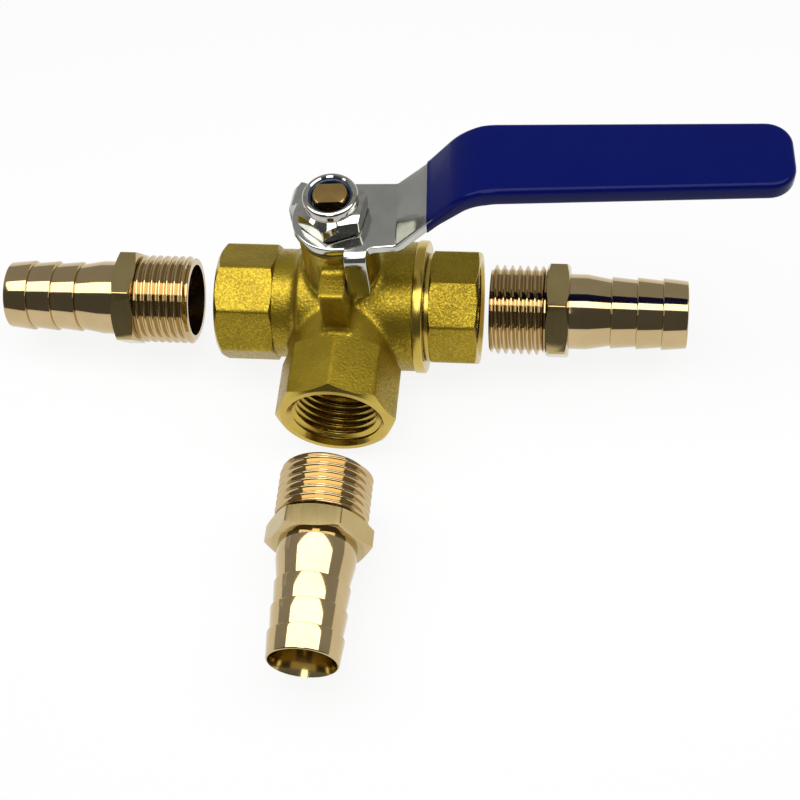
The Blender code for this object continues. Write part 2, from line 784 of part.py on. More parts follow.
def build_lock_nut(parent):
    """Hexagon lock nut with a collar, and the nylon ring held in it."""
    corner = NUT_FLATS / 2 / math.cos(math.pi / NUT_SIDES)
    rise = (corner - NUT_COLLAR_RADIUS) / math.sqrt(3.0)
    turn = Matrix.Rotation(NUT_TURN, 4, "Z")
    nut = prism("lock_nut", NUT_SIDES, NUT_FLATS, NUT_BOTTOM, NUT_HEX_TOP, parent, turn)
    limit = turned(
        "lock_nut_limit",
        [
            (0, NUT_HEX_TOP + JOINT_OVERLAP),
            (NUT_COLLAR_RADIUS, NUT_HEX_TOP),
            (corner + FIT_GAP, NUT_HEX_TOP - rise),
            (corner + FIT_GAP, NUT_BOTTOM + rise / 2),
            (NUT_FLATS / 2, NUT_BOTTOM),
            (0, NUT_BOTTOM),
        ],
        parent,
    )
    keep_inside(nut, limit)
    collar = turned(
        "lock_nut_collar",
        [
            (0, NUT_TOP),
            (NUT_COLLAR_RADIUS - NUT_COLLAR_ROUND, NUT_TOP),
            (NUT_COLLAR_RADIUS, NUT_TOP - NUT_COLLAR_ROUND),
            (NUT_COLLAR_RADIUS, NUT_HEX_TOP - JOINT_OVERLAP),
            (0, NUT_HEX_TOP - JOINT_OVERLAP),
        ],
        parent,
        steps=SMALL_STEPS,
    )
    join(nut, collar)
    pocket = INSERT_RADIUS + FIT_GAP
    pocket_top = NUT_TOP - NUT_LIP
    pocket_floor = pocket_top - INSERT_HEIGHT - 2 * SEAL_GAP
    lip = INSERT_RADIUS - SEAL_GAP
    bore = turned(
        "lock_nut_bore",
        [
            (0, NUT_TOP + JOINT_OVERLAP),
            (lip, NUT_TOP + JOINT_OVERLAP),
            (lip, pocket_top),
            (pocket, pocket_top),
            (pocket, pocket_floor),
            (NUT_HOLE_RADIUS, pocket_floor),
            (NUT_HOLE_RADIUS, NUT_BOTTOM - JOINT_OVERLAP),
            (0, NUT_BOTTOM - JOINT_OVERLAP),
        ],
        parent,
        steps=SMALL_STEPS,
    )
    cut(nut, bore)
    make_part(nut, plated_steel)
    low, high = pocket_floor + SEAL_GAP, pocket_top - SEAL_GAP
    insert = ring("lock_nut_insert", INSERT_RADIUS, NUT_HOLE_RADIUS, low, high, parent, steps=SMALL_STEPS)
    make_part(insert, nylon)


def thread_profile():
    """Ridges of the tail's thread as rings, from its start at height 0 down to the relief."""
    crest, root = THREAD_MAJOR / 2, THREAD_MINOR / 2
    half_crest = THREAD_CREST / 2
    ridges = int((THREAD_LENGTH - THREAD_RELIEF) / THREAD_PITCH)
    profile = [(root, 0.0)]
    for ridge in range(ridges):
        middle = -(ridge + 0.5) * THREAD_PITCH
        profile.append((crest, middle + half_crest))
        profile.append((crest, middle - half_crest))
        profile.append((root, middle - THREAD_PITCH / 2))
    return profile


def barb_profile(start):
    """Hose end below a height: a neck, a taper, then teeth that face back to the hexagon."""
    end = start - BARB_LENGTH
    valley = BARB_RADIUS - BARB_STEP
    first_step = end + BARB_COUNT * BARB_PITCH
    profile = [(BARB_ROOT_RADIUS, start), (BARB_ROOT_RADIUS, start - BARB_NECK)]
    for tooth in range(BARB_COUNT):
        step = first_step - tooth * BARB_PITCH
        profile.append((valley, step))
        profile.append((BARB_RADIUS, step - BARB_STEP / 2))
    profile.append((valley, end + BARB_LEAD))
    profile.append((valley - BARB_LEAD / 2, end))
    return profile


def build_tail(name, direction, face, gap, parent):
    """Hose tail in line with its port, its thread towards the port, two hexagon corners level."""
    towards_port = -Vector(direction)
    sideways = Vector((0.0, 0.0, 1.0)).cross(towards_port)
    turn = Matrix((sideways, towards_port.cross(sideways), towards_port)).transposed().to_4x4()
    axis = new_empty(name + "_axis", parent)
    axis.matrix_local = Matrix.Translation(Vector(direction) * (face + gap) * MM) @ turn
    hex_top = -THREAD_LENGTH
    hex_bottom = hex_top - TAIL_HEX_LENGTH
    end = hex_bottom - BARB_LENGTH
    bore = TAIL_BORE / 2
    under_hex = hex_top - JOINT_OVERLAP
    outer = thread_profile()
    outer += [(THREAD_MINOR / 2, under_hex), (BARB_ROOT_RADIUS, under_hex)]
    outer += barb_profile(hex_bottom)
    funnel = -TAIL_MOUTH_DEPTH - TAIL_MOUTH_RADIUS + bore
    inner = [(bore, end), (bore, funnel), (TAIL_MOUTH_RADIUS, -TAIL_MOUTH_DEPTH), (TAIL_MOUTH_RADIUS, 0.0)]
    tail = turned(name, outer + inner, axis, closed=True, steps=SMALL_STEPS)
    hexagon = chamfered_flats(
        name + "_hexagon", TAIL_HEX_SIDES, TAIL_HEX_FLATS, hex_bottom, hex_top, TAIL_HEX_CHAMFER, axis
    )
    cut(hexagon, rod(name + "_hexagon_bore", (bore + BARB_ROOT_RADIUS) / 2, end, 0.0, axis))
    join(tail, hexagon)
    make_part(tail, brass_turned)


def stand_on_floor(root):
    """Put the middle of the model's footprint at the origin, with its lowest point on the floor."""
    bpy.context.view_layer.update()
    graph = bpy.context.evaluated_depsgraph_get()
    lows, highs = [], []
    for item in parts.objects:
        if item.type != "MESH":
            continue
        shape = item.evaluated_get(graph)
        mesh = shape.to_mesh()
        points = np.empty(len(mesh.vertices) * 3)
        mesh.vertices.foreach_get("co", points)
        points = points.reshape(-1, 3) @ np.array(shape.matrix_world)[:3, :3].T
        points += np.array(shape.matrix_world)[:3, 3]
        lows.append(points.min(axis=0))
        highs.append(points.max(axis=0))
        shape.to_mesh_clear()
    low, high = np.min(lows, axis=0), np.max(highs, axis=0)
    root.location = (-(low[0] + high[0]) / 2, -(low[1] + high[1]) / 2, -low[2])
    print("ball centre at", [round(value / MM, 3) for value in root.location], "mm")


clear_scene()
parts = new_collection("three_way_valve")
cutters = new_collection("three_way_valve_cutters")
cutters.hide_render = True

brass_cast = new_material("brass_cast", (0.42, 0.30, 0.05), 0.45, 1.0)
brass_turned = new_material("brass_turned", (0.62, 0.48, 0.20), 0.22, 1.0)
steel = new_material("steel", (0.42, 0.42, 0.40), 0.38, 1.0)
plated_steel = new_material("plated_steel", (0.72, 0.72, 0.70), 0.15, 1.0)
chrome = new_material("chrome", (0.75, 0.75, 0.75), 0.08, 1.0)
vinyl = new_material("vinyl", (0.01, 0.012, 0.09), 0.25, 0.0)
nylon = new_material("nylon", (0.02, 0.06, 0.14), 0.40, 0.0)
ptfe = new_material("ptfe", (0.85, 0.85, 0.83), 0.50, 0.0)
rubber = new_material("rubber", (0.02, 0.02, 0.02), 0.60, 0.0)

root = new_empty("valve_centre")
handle_axis = new_empty("handle_axis", root, LEVER_TURN)

build_body(root)
build_end_cap(root)
build_seat("seat_left", (-1, 0, 0), root)
build_seat("seat_right", (1, 0, 0), root)
build_seat("seat_front", (0, -1, 0), root)
build_stem_packing(root)
build_ball(handle_axis)
build_stem(handle_axis)
build_lever(handle_axis)
build_sleeve(handle_axis)
build_lock_nut(handle_axis)
build_tail("hose_tail_left", (-1, 0, 0), LEFT_FACE, LEFT_TAIL_GAP, root)
build_tail("hose_tail_right", (1, 0, 0), RIGHT_FACE, RIGHT_TAIL_GAP, root)
build_tail("hose_tail_front", (0, -1, 0), FRONT_FACE, FRONT_TAIL_GAP, root)
stand_on_floor(root)
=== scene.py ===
"""Looks of the three way ball valve: forged body, end cap, hose tails, lever and lock nut in a plain studio.

Shapes are worked in millimetres about the ball's centre: the left port runs along -X, the right port
along +X, the front port along -Y and the stem along +Z. Bench moves them into the frame's metres.
"""

from __future__ import annotations

import json
import logging
import math
from dataclasses import dataclass, field
from enum import Enum
from typing import Any, Sequence

import bmesh
import bpy
from mathutils import Matrix, Vector

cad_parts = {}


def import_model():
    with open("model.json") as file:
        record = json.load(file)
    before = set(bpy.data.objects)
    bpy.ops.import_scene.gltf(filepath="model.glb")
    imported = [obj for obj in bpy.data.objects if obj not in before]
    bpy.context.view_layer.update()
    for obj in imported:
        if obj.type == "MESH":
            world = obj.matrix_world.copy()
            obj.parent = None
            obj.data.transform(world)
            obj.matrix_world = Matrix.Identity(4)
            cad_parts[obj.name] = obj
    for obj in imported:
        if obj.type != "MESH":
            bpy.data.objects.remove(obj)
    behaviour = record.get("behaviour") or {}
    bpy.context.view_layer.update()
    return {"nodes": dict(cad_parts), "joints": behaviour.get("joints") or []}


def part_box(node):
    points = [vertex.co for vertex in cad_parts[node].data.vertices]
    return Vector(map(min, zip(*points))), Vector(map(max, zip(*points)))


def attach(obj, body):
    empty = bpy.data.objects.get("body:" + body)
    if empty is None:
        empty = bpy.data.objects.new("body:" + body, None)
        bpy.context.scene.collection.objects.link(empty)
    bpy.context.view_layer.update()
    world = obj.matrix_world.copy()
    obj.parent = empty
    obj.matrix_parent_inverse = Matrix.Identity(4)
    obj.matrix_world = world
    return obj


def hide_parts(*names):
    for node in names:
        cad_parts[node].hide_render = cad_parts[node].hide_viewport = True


LOG = logging.getLogger("three_way_valve")
MM = 0.001
WELD = 1e-4
SHARP_ANGLE = math.radians(32.0)
ROUND_STEPS = 96
CORNER_STEPS = 4
FLAT_EDGE_STEPS = 3
RIDGE_STEPS = 2
AO_SAMPLES = 4
MATT = 0.9
UP = Vector((0.0, 0.0, 1.0))

Point = tuple[float, float]
Profile = Sequence[Point]
Colour = tuple[float, float, float]


def corner_radius(flats: float, sides: int) -> float:
    """Distance of a regular prism's corners from its axis."""
    return flats / 2.0 / math.cos(math.pi / sides)


class Body(Enum):
    """Rigid groups of the frame that pieces ride on."""

    VALVE = "valve"
    HANDLE = "handle"
    TAIL_LEFT = "tail_left"
    TAIL_RIGHT = "tail_right"
    TAIL_FRONT = "tail_front"


class Operation(Enum):
    """Ways to combine two closed shapes."""

    JOIN = "UNION"
    CUT = "DIFFERENCE"
    KEEP = "INTERSECT"


class Surface(Enum):
    """Which of a piece's finishes a face takes."""

    RAW = 0
    MACHINED = 1


class Port(Enum):
    """The valve's three openings, by the way they look."""

    LEFT = (-1.0, 0.0, 0.0)
    RIGHT = (1.0, 0.0, 0.0)
    FRONT = (0.0, -1.0, 0.0)

    def outward(self, turn: float = 0.0) -> Matrix:
        """Placement about the ball whose +Z runs out of the port, turned about the port's own axis."""
        swing = UP.rotation_difference(Vector(self.value))
        return swing.to_matrix().to_4x4() @ Matrix.Rotation(turn, 4, "Z")

    def inward(self, distance: float) -> Matrix:
        """Placement whose +Z runs into the port and whose +X is level.

        Args:
            distance: How far from the ball its origin lies.

        Returns:
            The placement, about the ball's centre.
        """
        inside = -Vector(self.value)
        level = UP.cross(inside)
        turn = Matrix((level, inside.cross(level), inside)).transposed().to_4x4()
        return Matrix.Translation(Vector(self.value) * distance) @ turn


class Value:
    """A shader socket that arithmetic can be written on."""

    def __init__(self, sheet: NodeSheet, socket: bpy.types.NodeSocket) -> None:
        """Wrap one output socket of a sheet."""
        self.sheet = sheet
        self.socket = socket

    def _math(self, operation: str, first: Any, second: Any) -> Value:
        """One Math node on two values or numbers."""
        return self.sheet.add("ShaderNodeMath", {"operation": operation}, {0: first, 1: second})

    def __add__(self, other: Any) -> Value:
        """Sum."""
        return self._math("ADD", self, other)

    def __radd__(self, other: Any) -> Value:
        """Sum, from the other side."""
        return self._math("ADD", other, self)

    def __rsub__(self, other: Any) -> Value:
        """Difference, from the other side."""
        return self._math("SUBTRACT", other, self)

    def __mul__(self, other: Any) -> Value:
        """Product."""
        return self._math("MULTIPLY", self, other)

    def __rmul__(self, other: Any) -> Value:
        """Product, from the other side."""
        return self._math("MULTIPLY", other, self)


class NodeSheet:
    """The node tree of a material or of the world."""

    def __init__(self, owner: bpy.types.Material | bpy.types.World, shader: str = "Principled BSDF") -> None:
        """Start on the owner's node tree.

        Args:
            owner: The material or world.
            shader: Its shader's node.
        """
        self.owner = owner
        self.owner.use_nodes = True
        self.tree = self.owner.node_tree
        self.shader = self.tree.nodes[shader]

    @classmethod
    def of(cls, name: str) -> NodeSheet:
        """The sheet of a new material."""
        return cls(bpy.data.materials.new(name))

    def add(
        self,
        kind: str,
        settings: dict[str, Any] | None = None,
        inputs: dict[str | int, Any] | None = None,
        output: str | int = 0,
    ) -> Value:
        """Add a node.

        Args:
            kind: The node's type.
            settings: Its own settings, set first.
            inputs: Numbers, colours or values for its sockets.
            output: The socket to hand back.

        Returns:
            The chosen output.
        """
        node = self.tree.nodes.new(kind)
        for name, setting in (settings or {}).items():
            setattr(node, name, setting)
        for key, given in (inputs or {}).items():
            self.feed(node.inputs[key], given)
        return Value(self, node.outputs[output])

    def feed(self, socket: bpy.types.NodeSocket, given: Any) -> None:
        """Link a value to a socket, or set a number or colour on it.

        Args:
            socket: The socket to feed.
            given: The value, number or colour.
        """
        if isinstance(given, Value):
            self.tree.links.new(given.socket, socket)
        else:
            socket.default_value = given

    def shade(self, **given: Any) -> None:
        """Feed the shader; an underscore stands for a space in a socket's name."""
        for name, value in given.items():
            self.feed(self.shader.inputs[name.replace("_", " ")], value)

    def place(self, stretch: tuple[float, float, float] = (1.0, 1.0, 1.0)) -> Value:
        """Object coordinates, stretched along the axes."""
        at = self.add("ShaderNodeTexCoord", output="Object")
        return self.add("ShaderNodeMapping", None, {"Vector": at, "Scale": stretch}, "Vector")

    def noise(self, at: Value, size: float, detail: float = 2.0, rough: float = 0.5) -> Value:
        """Soft noise whose lumps have a size in millimetres."""
        given = {"Vector": at, "Scale": 1.0 / (size * MM), "Detail": detail, "Roughness": rough}
        return self.add("ShaderNodeTexNoise", None, given, "Fac")

    def cells(self, at: Value, size: float) -> Value:
        """Distance to the middle of cells that have a size in millimetres."""
        return self.add("ShaderNodeTexVoronoi", None, {"Vector": at, "Scale": 1.0 / (size * MM)}, "Distance")

    def ramp(self, by: Value, low: float, high: float) -> Value:
        """A smooth step from 0 at one level to 1 at another."""
        given = {"Value": by, "From Min": low, "From Max": high}
        return self.add("ShaderNodeMapRange", {"interpolation_type": "SMOOTHSTEP"}, given)

    def mix(self, by: Any, first: Any, second: Any) -> Value:
        """Mix two colours."""
        colours = [value if isinstance(value, Value) else (*value, 1.0) for value in (first, second)]
        return self.add("ShaderNodeMix", {"data_type": "RGBA"}, {0: by, 6: colours[0], 7: colours[1]}, 2)

    def bump(self, height: Value, depth: float) -> Value:
        """Normals for a height whose full range has a depth in millimetres."""
        return self.add("ShaderNodeBump", None, {"Height": height, "Distance": depth * MM, "Strength": 1.0}, "Normal")

    def crevice(self, reach: float) -> Value:
        """How open a place is, from ambient occlusion: 1 in the open, less in corners within a reach in millimetres;
        the brass finishes paint shade with it.
        """
        return self.add("ShaderNodeAmbientOcclusion", {"samples": AO_SAMPLES}, {"Distance": reach * MM}, "AO")


@dataclass(frozen=True)
class BlastedBrass:
    """Forged brass, shot blasted: golden, with a fine sparkling grain, and painted shade that darkens its corners."""

    name: str = "brass_blasted"
    gold: Colour = (0.48, 0.345, 0.027)
    olive: Colour = (0.26, 0.178, 0.013)
    # corner and corner_reach paint shade: the corner colour is mixed in where ambient occlusion finds a corner within
    # the reach.
    corner: Colour = (0.15, 0.092, 0.008)
    grain_size: float = 0.5
    dimple_size: float = 0.7
    patch_size: float = 6.0
    grain_depth: float = 0.055
    corner_reach: float = 3.0
    metal: float = 0.88
    roughness: float = 0.27

    def material(self) -> bpy.types.Material:
        """Mix the finish.

        Returns:
            The material.
        """
        sheet = NodeSheet.of(self.name)
        at = sheet.place()
        grain = sheet.noise(at, self.grain_size, 3.0, 0.6)
        dimples = sheet.cells(at, self.dimple_size)
        patches = sheet.ramp(sheet.noise(at, self.patch_size, 3.0), 0.35, 0.7)
        speckle = sheet.ramp(grain, 0.35, 0.68)
        tone = sheet.mix(patches * 0.25 + speckle * 0.5 + 0.12, self.olive, self.gold)
        # Painted shade: the ambient occlusion mask mixes the dark corner colour into corners and hollows.
        appearance = sheet.mix(sheet.ramp(sheet.crevice(self.corner_reach), 0.2, 0.85), self.corner, tone)
        sheet.shade(
            Base_Color=appearance,
            Metallic=self.metal,
            Roughness=self.roughness + 0.2 * (1.0 - speckle),
            Normal=sheet.bump(grain + 0.7 * dimples, self.grain_depth),
        )
        return sheet.owner


@dataclass(frozen=True)
class TurnedBrass:
    """Turned brass: pale and bright, with fine tool marks round one axis and painted shade in its corners."""

    name: str
    axis: int
    pale: Colour = (0.61, 0.47, 0.26)
    deep: Colour = (0.51, 0.38, 0.19)
    # corner and corner_reach paint shade into corners, from ambient occlusion.
    corner: Colour = (0.44, 0.34, 0.17)
    line_size: float = 0.16
    stretch: float = 0.02
    patch_size: float = 7.0
    line_depth: float = 0.001
    corner_reach: float = 1.0
    roughness: float = 0.04

    def material(self) -> bpy.types.Material:
        """Mix the finish.

        Returns:
            The material.
        """
        sheet = NodeSheet.of(self.name)
        along = [self.stretch] * 3
        along[self.axis] = 1.0
        lines = sheet.noise(sheet.place(tuple(along)), self.line_size, 2.0, 0.6)
        patches = sheet.ramp(sheet.noise(sheet.place(), self.patch_size, 2.0), 0.35, 0.7)
        tone = sheet.mix(lines * 0.5 + patches * 0.4, self.deep, self.pale)
        # Painted shade: the corner colour is mixed in where ambient occlusion finds a corner.
        tone = sheet.mix(sheet.ramp(sheet.crevice(self.corner_reach), 0.1, 0.7), self.corner, tone)
        sheet.shade(
            Base_Color=tone,
            Metallic=1.0,
            Roughness=self.roughness + 0.06 * lines,
            Normal=sheet.bump(lines, self.line_depth),
        )
        return sheet.owner


@dataclass(frozen=True)
class SatinSteel:
    """Plated steel strip: grey, faintly brushed along its length, with a few dull patches."""

    name: str = "steel_satin"
    bright: Colour = (0.56, 0.565, 0.525)
    dull: Colour = (0.48, 0.485, 0.45)
    line_size: float = 0.3
    stretch: tuple[float, float, float] = (0.05, 1.0, 1.0)
    patch_size: float = 5.0
    line_depth: float = 0.002
    roughness: float = 0.08

    def material(self) -> bpy.types.Material:
        """Mix the finish.

        Returns:
            The material.
        """
        sheet = NodeSheet.of(self.name)
        lines = sheet.noise(sheet.place(self.stretch), self.line_size, 3.0, 0.6)
        patches = sheet.ramp(sheet.noise(sheet.place(), self.patch_size, 3.0), 0.35, 0.65)
        sheet.shade(
            Base_Color=sheet.mix(lines * 0.3 + patches * 0.6, self.dull, self.bright),
            Metallic=1.0,
            Roughness=self.roughness + 0.05 * (1.0 - patches) + 0.05 * lines,
            Normal=sheet.bump(lines, self.line_depth),
        )
        return sheet.owner


@dataclass(frozen=True)
class BrightPlate:
    """Bright plating on turned steel, a little uneven."""

    name: str
    bright: Colour = (0.54, 0.53, 0.49)
    dull: Colour = (0.42, 0.41, 0.37)
    patch_size: float = 2.2
    depth: float = 0.014
    roughness: float = 0.03

    def material(self) -> bpy.types.Material:
        """Mix the finish.

        Returns:
            The material.
        """
        sheet = NodeSheet.of(self.name)
        patches = sheet.noise(sheet.place(), self.patch_size, 3.0)
        sheet.shade(
            Base_Color=sheet.mix(sheet.ramp(patches, 0.3, 0.65), self.dull, self.bright),
            Metallic=1.0,
            Roughness=self.roughness + 0.06 * patches,
            Normal=sheet.bump(patches, self.depth),
        )
        return sheet.owner


@dataclass(frozen=True)
class DippedVinyl:
    """Dipped vinyl: one deep colour with a gloss that waves a little, and fine dust."""

    name: str = "vinyl_dipped"
    colour: Colour = (0.001, 0.0038, 0.078)
    dust: Colour = (0.0025, 0.0065, 0.096)
    wave_size: float = 9.0
    peel_size: float = 1.1
    dust_size: float = 0.4
    depth: float = 0.06
    gloss: float = 0.1
    roughness: float = 0.12

    def material(self) -> bpy.types.Material:
        """Mix the finish.

        Returns:
            The material.
        """
        sheet = NodeSheet.of(self.name)
        at = sheet.place()
        waves = sheet.noise(at, self.wave_size, 1.0)
        peel = sheet.noise(at, self.peel_size, 2.0)
        dust = sheet.ramp(sheet.noise(at, self.dust_size, 2.0), 0.55, 0.75)
        sheet.shade(
            Base_Color=sheet.mix(dust * 0.35 + waves * 0.4, self.colour, self.dust),
            Roughness=self.roughness + 0.08 * dust + 0.05 * peel,
            Normal=sheet.bump(waves + 0.08 * peel, self.depth),
            Specular_IOR_Level=self.gloss,
        )
        return sheet.owner


@dataclass(frozen=True)
class MouldedPlastic:
    """Moulded or turned plastic and rubber, with faint mottling."""

    name: str
    colour: Colour
    mottle: Colour
    roughness: float = 0.4
    mottle_size: float = 1.5
    depth: float = 0.02

    def material(self) -> bpy.types.Material:
        """Mix the finish.

        Returns:
            The material.
        """
        sheet = NodeSheet.of(self.name)
        mottling = sheet.noise(sheet.place(), self.mottle_size, 3.0)
        sheet.shade(
            Base_Color=sheet.mix(mottling, self.colour, self.mottle),
            Roughness=self.roughness + 0.1 * mottling,
            Normal=sheet.bump(mottling, self.depth),
        )
        return sheet.owner


class Shape:
    """A closed form in millimetres, shaped by bmesh operators."""

    def __init__(self, surface: Surface = Surface.RAW) -> None:
        """Start an empty form whose faces take a finish."""
        self.form = bmesh.new()
        self.surface = surface

    def _paint(self) -> Shape:
        """Mark every face with the form's finish.

        Returns:
            The form itself.
        """
        for face in self.form.faces:
            face.material_index = self.surface.value
        return self

    @classmethod
    def turned(
        cls,
        profile: Profile,
        rounds: dict[int, float] | None = None,
        hollow: bool = False,
        surface: Surface = Surface.MACHINED,
    ) -> Shape:
        """Turn a profile about Z.

        Args:
            profile: Points as (radius, height).
            rounds: Corners to round off, as point number to setback.
            hollow: Whether the profile closes on itself and keeps off the axis.
            surface: The finish that its faces take.

        Returns:
            The turned form.
        """
        shape = cls(surface)
        corners = [shape.form.verts.new((radius, 0.0, height)) for radius, height in profile]
        for first, second in zip(corners, corners[1:] + corners[: int(hollow)]):
            shape.form.edges.new((first, second))
        for corner, setback in (rounds or {}).items():
            shape._bevel([corners[corner]], setback, CORNER_STEPS, "VERTICES")
        shape._spin(1, 0.0)
        return shape._closed()

    @classmethod
    def rod(
        cls,
        radius: float,
        low: float,
        high: float,
        surface: Surface = Surface.MACHINED,
        rounds: dict[int, float] | None = None,
    ) -> Shape:
        """A round bar along Z; corner 1 is its upper edge and corner 2 its lower one."""
        return cls.turned([(0.0, high), (radius, high), (radius, low), (0.0, low)], rounds, surface=surface)

    @classmethod
    def prism(
        cls, sides: int, across: float, low: float, high: float, edge: float = 0.0, surface: Surface = Surface.RAW
    ) -> Shape:
        """A prism along Z with one corner on its X axis.

        Args:
            sides: Number of flats.
            across: Distance across the flats.
            low: Height of its lower end.
            high: Height of its upper end.
            edge: Setback of the rounded edges between the flats.
            surface: The finish that its faces take.

        Returns:
            The prism.
        """
        shape = cls(surface)
        corner = corner_radius(across, sides)
        bmesh.ops.create_cone(
            shape.form, cap_ends=True, segments=sides, radius1=corner, radius2=corner, depth=high - low
        )
        if edge:
            upright = [e for e in shape.form.edges if abs(e.verts[0].co.z - e.verts[1].co.z) > WELD]
            shape._bevel(upright, edge, FLAT_EDGE_STEPS, "EDGES")
        shape.move(Matrix.Translation((0.0, 0.0, (low + high) / 2.0)) @ Matrix.Rotation(math.pi / 2.0, 4, "Z"))
        return shape._paint()

    @classmethod
    def block(cls, low: Sequence[float], high: Sequence[float], surface: Surface = Surface.RAW) -> Shape:
        """A box.

        Args:
            low: Its lowest corner.
            high: Its highest corner.
            surface: The finish that its faces take.

        Returns:
            The box.
        """
        shape = cls(surface)
        size = Vector(high) - Vector(low)
        middle = (Vector(high) + Vector(low)) / 2.0
        bmesh.ops.create_cube(shape.form, size=1.0, matrix=Matrix.LocRotScale(middle, None, size))
        return shape._paint()

    @classmethod
    def ball(cls, radius: float) -> Shape:
        """A sphere about the ball's centre.

        Args:
            radius: Its radius.

        Returns:
            The sphere.
        """
        shape = cls(Surface.MACHINED)
        bmesh.ops.create_uvsphere(shape.form, u_segments=ROUND_STEPS, v_segments=ROUND_STEPS // 2, radius=radius)
        return shape._paint()

    @classmethod
    def sheet(cls, outline: Profile, thickness: float, edge: float, segments: int) -> Shape:
        """A flat blank with rounded edges, its middle plane on height 0.

        Args:
            outline: Points of the outline as (x, y).
            thickness: Thickness of the blank.
            edge: Setback of its rounded edges.
            segments: Steps of the rounding.

        Returns:
            The blank.
        """
        shape = cls()
        rim = [shape.form.verts.new((x, y, -thickness / 2.0)) for x, y in outline]
        base = shape.form.faces.new(rim)
        grown = bmesh.ops.extrude_face_region(shape.form, geom=[base], use_keep_orig=True)
        raised = [item for item in grown["geom"] if isinstance(item, bmesh.types.BMVert)]
        bmesh.ops.translate(shape.form, verts=raised, vec=(0.0, 0.0, thickness))
        bmesh.ops.recalc_face_normals(shape.form, faces=shape.form.faces)
        level = [e for e in shape.form.edges if abs(e.verts[0].co.z - e.verts[1].co.z) < WELD]
        shape._bevel(level, edge, segments, "EDGES")
        return shape._paint()

    @classmethod
    def thread(cls, thread: PipeThread, low: float, high: float, growth: float = 0.0) -> Shape:
        """A right-hand threaded bar along Z whose ridges keep step with height 0.

        Args:
            thread: The thread's sizes.
            low: Height of its lower end.
            high: Height of its upper end.
            growth: How much its flanks stand off, for cutting the mating thread.

        Returns:
            The threaded bar, cut square at both ends.
        """
        shape = cls(Surface.MACHINED)
        root, crest = thread.minor / 2.0 + growth, thread.major / 2.0 + growth
        half_crest = thread.crest / 2.0 + growth
        half_root = thread.pitch / 2.0 - thread.root / 2.0 + growth
        start = (math.floor(low / thread.pitch) - 1) * thread.pitch
        turns = math.ceil((high - start) / thread.pitch) + 1
        ridge = [(root, -thread.pitch / 2.0), (root, -half_root), (crest, -half_crest)]
        ridge += [(radius, -height) for radius, height in reversed(ridge)]
        corners = [shape.form.verts.new((radius, 0.0, start + height)) for radius, height in ridge]
        for pair in zip(corners, corners[1:]):
            shape.form.edges.new(pair)
        shape._bevel(corners[1:-1], thread.rounding, RIDGE_STEPS, "VERTICES")
        shape._spin(turns, thread.pitch)
        bmesh.ops.remove_doubles(shape.form, verts=shape.form.verts, dist=WELD)
        for height, side in ((low, -1.0), (high, 1.0)):
            shape._split((0.0, 0.0, height), (0.0, 0.0, side), True)
        bmesh.ops.edgeloop_fill(shape.form, edges=[e for e in shape.form.edges if e.is_boundary])
        return shape._closed()

    def _spin(self, turns: int, rise: float) -> None:
        """Spin a line about Z, rising by a height each turn; without a rise the turn closes on itself.

        Args:
            turns: Number of full turns.
            rise: Height gained in each turn.
        """
        bmesh.ops.spin(
            self.form,
            geom=self.form.verts[:] + self.form.edges[:],
            cent=(0.0, 0.0, 0.0),
            axis=UP,
            dvec=UP * rise / ROUND_STEPS,
            angle=2.0 * math.pi * turns,
            steps=ROUND_STEPS * turns,
            use_merge=not rise,
        )

    def _split(self, point: Sequence[float], way: Sequence[float], clear: bool) -> None:
        """Cut edges where a plane crosses the form.

        Args:
            point: A point of the plane.
            way: The plane's normal.
            clear: Whether what lies beyond the plane goes, which leaves the form open.
        """
        everything = self.form.verts[:] + self.form.edges[:] + self.form.faces[:]
        bmesh.ops.bisect_plane(
            self.form, geom=everything, dist=WELD, plane_co=point, plane_no=way, clear_outer=clear
        )

    def slice(self, places: Sequence[float]) -> Shape:
        """Cut extra edges across the form, so that it can bend there.

        Args:
            places: Where to cut, along X.

        Returns:
            The form itself.
        """
        for place in places:
            self._split((place, 0.0, 0.0), (1.0, 0.0, 0.0), False)
        return self

    def move(self, placement: Matrix) -> Shape:
        """Move the form by a placement."""
        bmesh.ops.transform(self.form, matrix=placement, verts=self.form.verts)
        return self

    def join(self, *others: Shape) -> Shape:
        """Join other forms to this one."""
        return self._combine(Operation.JOIN, others)

    def cut(self, *others: Shape) -> Shape:
        """Cut other forms out of this one."""
        return self._combine(Operation.CUT, others)

    def keep(self, *others: Shape) -> Shape:
        """Keep only what lies inside the other forms too."""
        return self._combine(Operation.KEEP, others)

    def gather(self, *others: Shape) -> Shape:
        """Put other forms in with this one as they are, overlapping.

        Args:
            others: The forms; they are used up.

        Returns:
            The form itself.
        """
        for other in others:
            mesh = other.release()
            self.form.from_mesh(mesh)
            bpy.data.meshes.remove(mesh)
        return self

    def forged(self, voxel: float, fillet: float, smoothing: int) -> Shape:
        """Merge overlapping forms into one skin whose inner corners are filled round.

        Args:
            voxel: Size of the skin's faces.
            fillet: Radius of the filled corners.
            smoothing: Rounds of smoothing.

        Returns:
            The form itself.
        """
        blank = self._object()
        steps = (
            ("REMESH", {"mode": "VOXEL", "voxel_size": voxel}),
            ("DISPLACE", {"strength": fillet, "mid_level": 0.0}),
            ("REMESH", {"mode": "VOXEL", "voxel_size": voxel}),
            ("DISPLACE", {"strength": -fillet, "mid_level": 0.0}),
            ("SMOOTH", {"factor": 0.5, "iterations": smoothing}),
        )
        for kind, settings in steps:
            modifier = blank.modifiers.new(kind, kind)
            for name, setting in settings.items():
                setattr(modifier, name, setting)
        self._read(blank)
        return self._paint()

